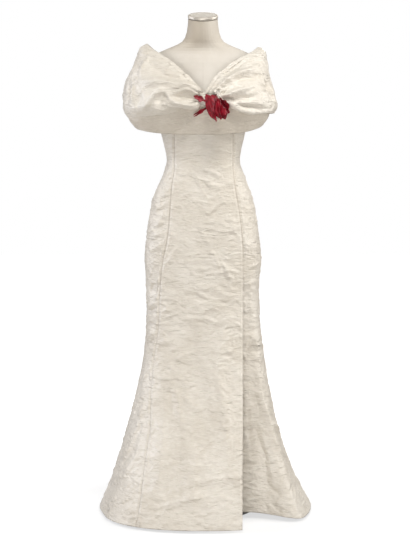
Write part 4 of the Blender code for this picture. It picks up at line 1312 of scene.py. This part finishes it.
# Painted glow: the floor glows white for camera rays only and shows them a darker base colour than bounced light
# gets; the glow is weaker near the dress, so that the shadow cast there shows
floor_finish = Nodes("pale floor")
grain = floor_finish.noise(floor_finish.place, 3.0)
direct = floor_finish.add("ShaderNodeLightPath").outputs["Is Camera Ray"]
plain = floor_finish.ramp(grain, (0.0, (0.50, 0.48, 0.45)), (1.0, (0.54, 0.52, 0.49)))
floor_finish.link(floor_finish.mix(direct, plain, (0.36, 0.36, 0.36)), "Base Color")
reach = floor_finish.add("ShaderNodeVectorMath", **{"Vector": floor_finish.place})
reach.operation = "LENGTH"
glow = floor_finish.ramp(
    floor_finish.math("DIVIDE", reach.outputs["Value"], FLOOR_REACH), (0.05, (0.66,) * 3), (0.14, (1.0,) * 3)
)
floor_finish.link(glow, "Emission Color")
floor_finish.link(direct, "Emission Strength")
floor_finish.set(Roughness=0.9, Specular_IOR_Level=0.1)
floor_mesh.materials.append(floor_finish.material)

world = bpy.data.worlds.new("studio")
bpy.context.scene.world = world
world.use_nodes = True
tree = world.node_tree
AMBIENT = 0.10
STUDIO_WALLS = 0.60
ambient = tree.nodes["Background"]
ambient.inputs["Color"].default_value = (1.0, 0.95, 0.88, 1.0)
white = tree.nodes.new("ShaderNodeBackground")
white.inputs["Color"].default_value = (1.0, 1.0, 1.0, 1.0)
white.inputs["Strength"].default_value = 1.0
paths = tree.nodes.new("ShaderNodeLightPath")
shine = tree.nodes.new("ShaderNodeMapRange")
shine.inputs["To Min"].default_value = AMBIENT
shine.inputs["To Max"].default_value = STUDIO_WALLS
tree.links.new(paths.outputs["Is Glossy Ray"], shine.inputs["Value"])
tree.links.new(shine.outputs["Result"], ambient.inputs["Strength"])
choose = tree.nodes.new("ShaderNodeMixShader")
tree.links.new(paths.outputs["Is Camera Ray"], choose.inputs["Fac"])
tree.links.new(ambient.outputs["Background"], choose.inputs[1])
tree.links.new(white.outputs["Background"], choose.inputs[2])
tree.links.new(choose.outputs["Shader"], tree.nodes["World Output"].inputs["Surface"])


def soft_box(name, place, target, size, power, tint):
    lamp = bpy.data.lights.new(name, "AREA")
    lamp.shape = "RECTANGLE"
    lamp.size, lamp.size_y = size
    lamp.energy = power
    lamp.color = tint
    made = bpy.data.objects.new(name, lamp)
    made.location = place
    made.rotation_euler = (Vector(target) - Vector(place)).to_track_quat("-Z", "Y").to_euler()
    bpy.context.scene.collection.objects.link(made)


soft_box("right box", (2.8, 0.1, 1.7), (0, 0, 0.5), (1.0, 2.2), 51, (1.0, 0.985, 0.975))
soft_box("left box", (-2.8, 0.25, 1.5), (0, 0, 0.4), (1.0, 2.2), 49, (0.91, 0.925, 1.0))
soft_box("top box", (0.4, -1.4, 3.2), (0, 0, 1.0), (1.2, 0.8), 52, (1.0, 0.99, 0.97))
soft_box("front box", (-0.4, -3.2, 0.5), (0, 0, 0.15), (1.6, 0.8), 48, (1.0, 0.985, 0.98))
soft_box("back box", (0.5, 3.6, 2.4), (0, 0, 0.8), (1.6, 1.2), 48, (1.0, 0.99, 0.97))

# Camera
CAMERA_PLACE = (0.0062, -5.0, 1.25)
CAMERA_PITCH = math.radians(5.753)
FOCAL_PIXELS = 1604.5
LONG_SIDE = 547
SENSOR = 36.0
camera_data = bpy.data.cameras.new("camera")
camera_data.sensor_width = SENSOR
camera_data.sensor_fit = "AUTO"
camera_data.lens = FOCAL_PIXELS * SENSOR / LONG_SIDE
camera = bpy.data.objects.new("camera", camera_data)
camera.location = CAMERA_PLACE
camera.rotation_euler = (math.pi / 2 - CAMERA_PITCH, 0.0, 0.0)
bpy.context.scene.collection.objects.link(camera)
bpy.context.scene.camera = camera
bpy.context.scene.view_settings.view_transform = "Standard"
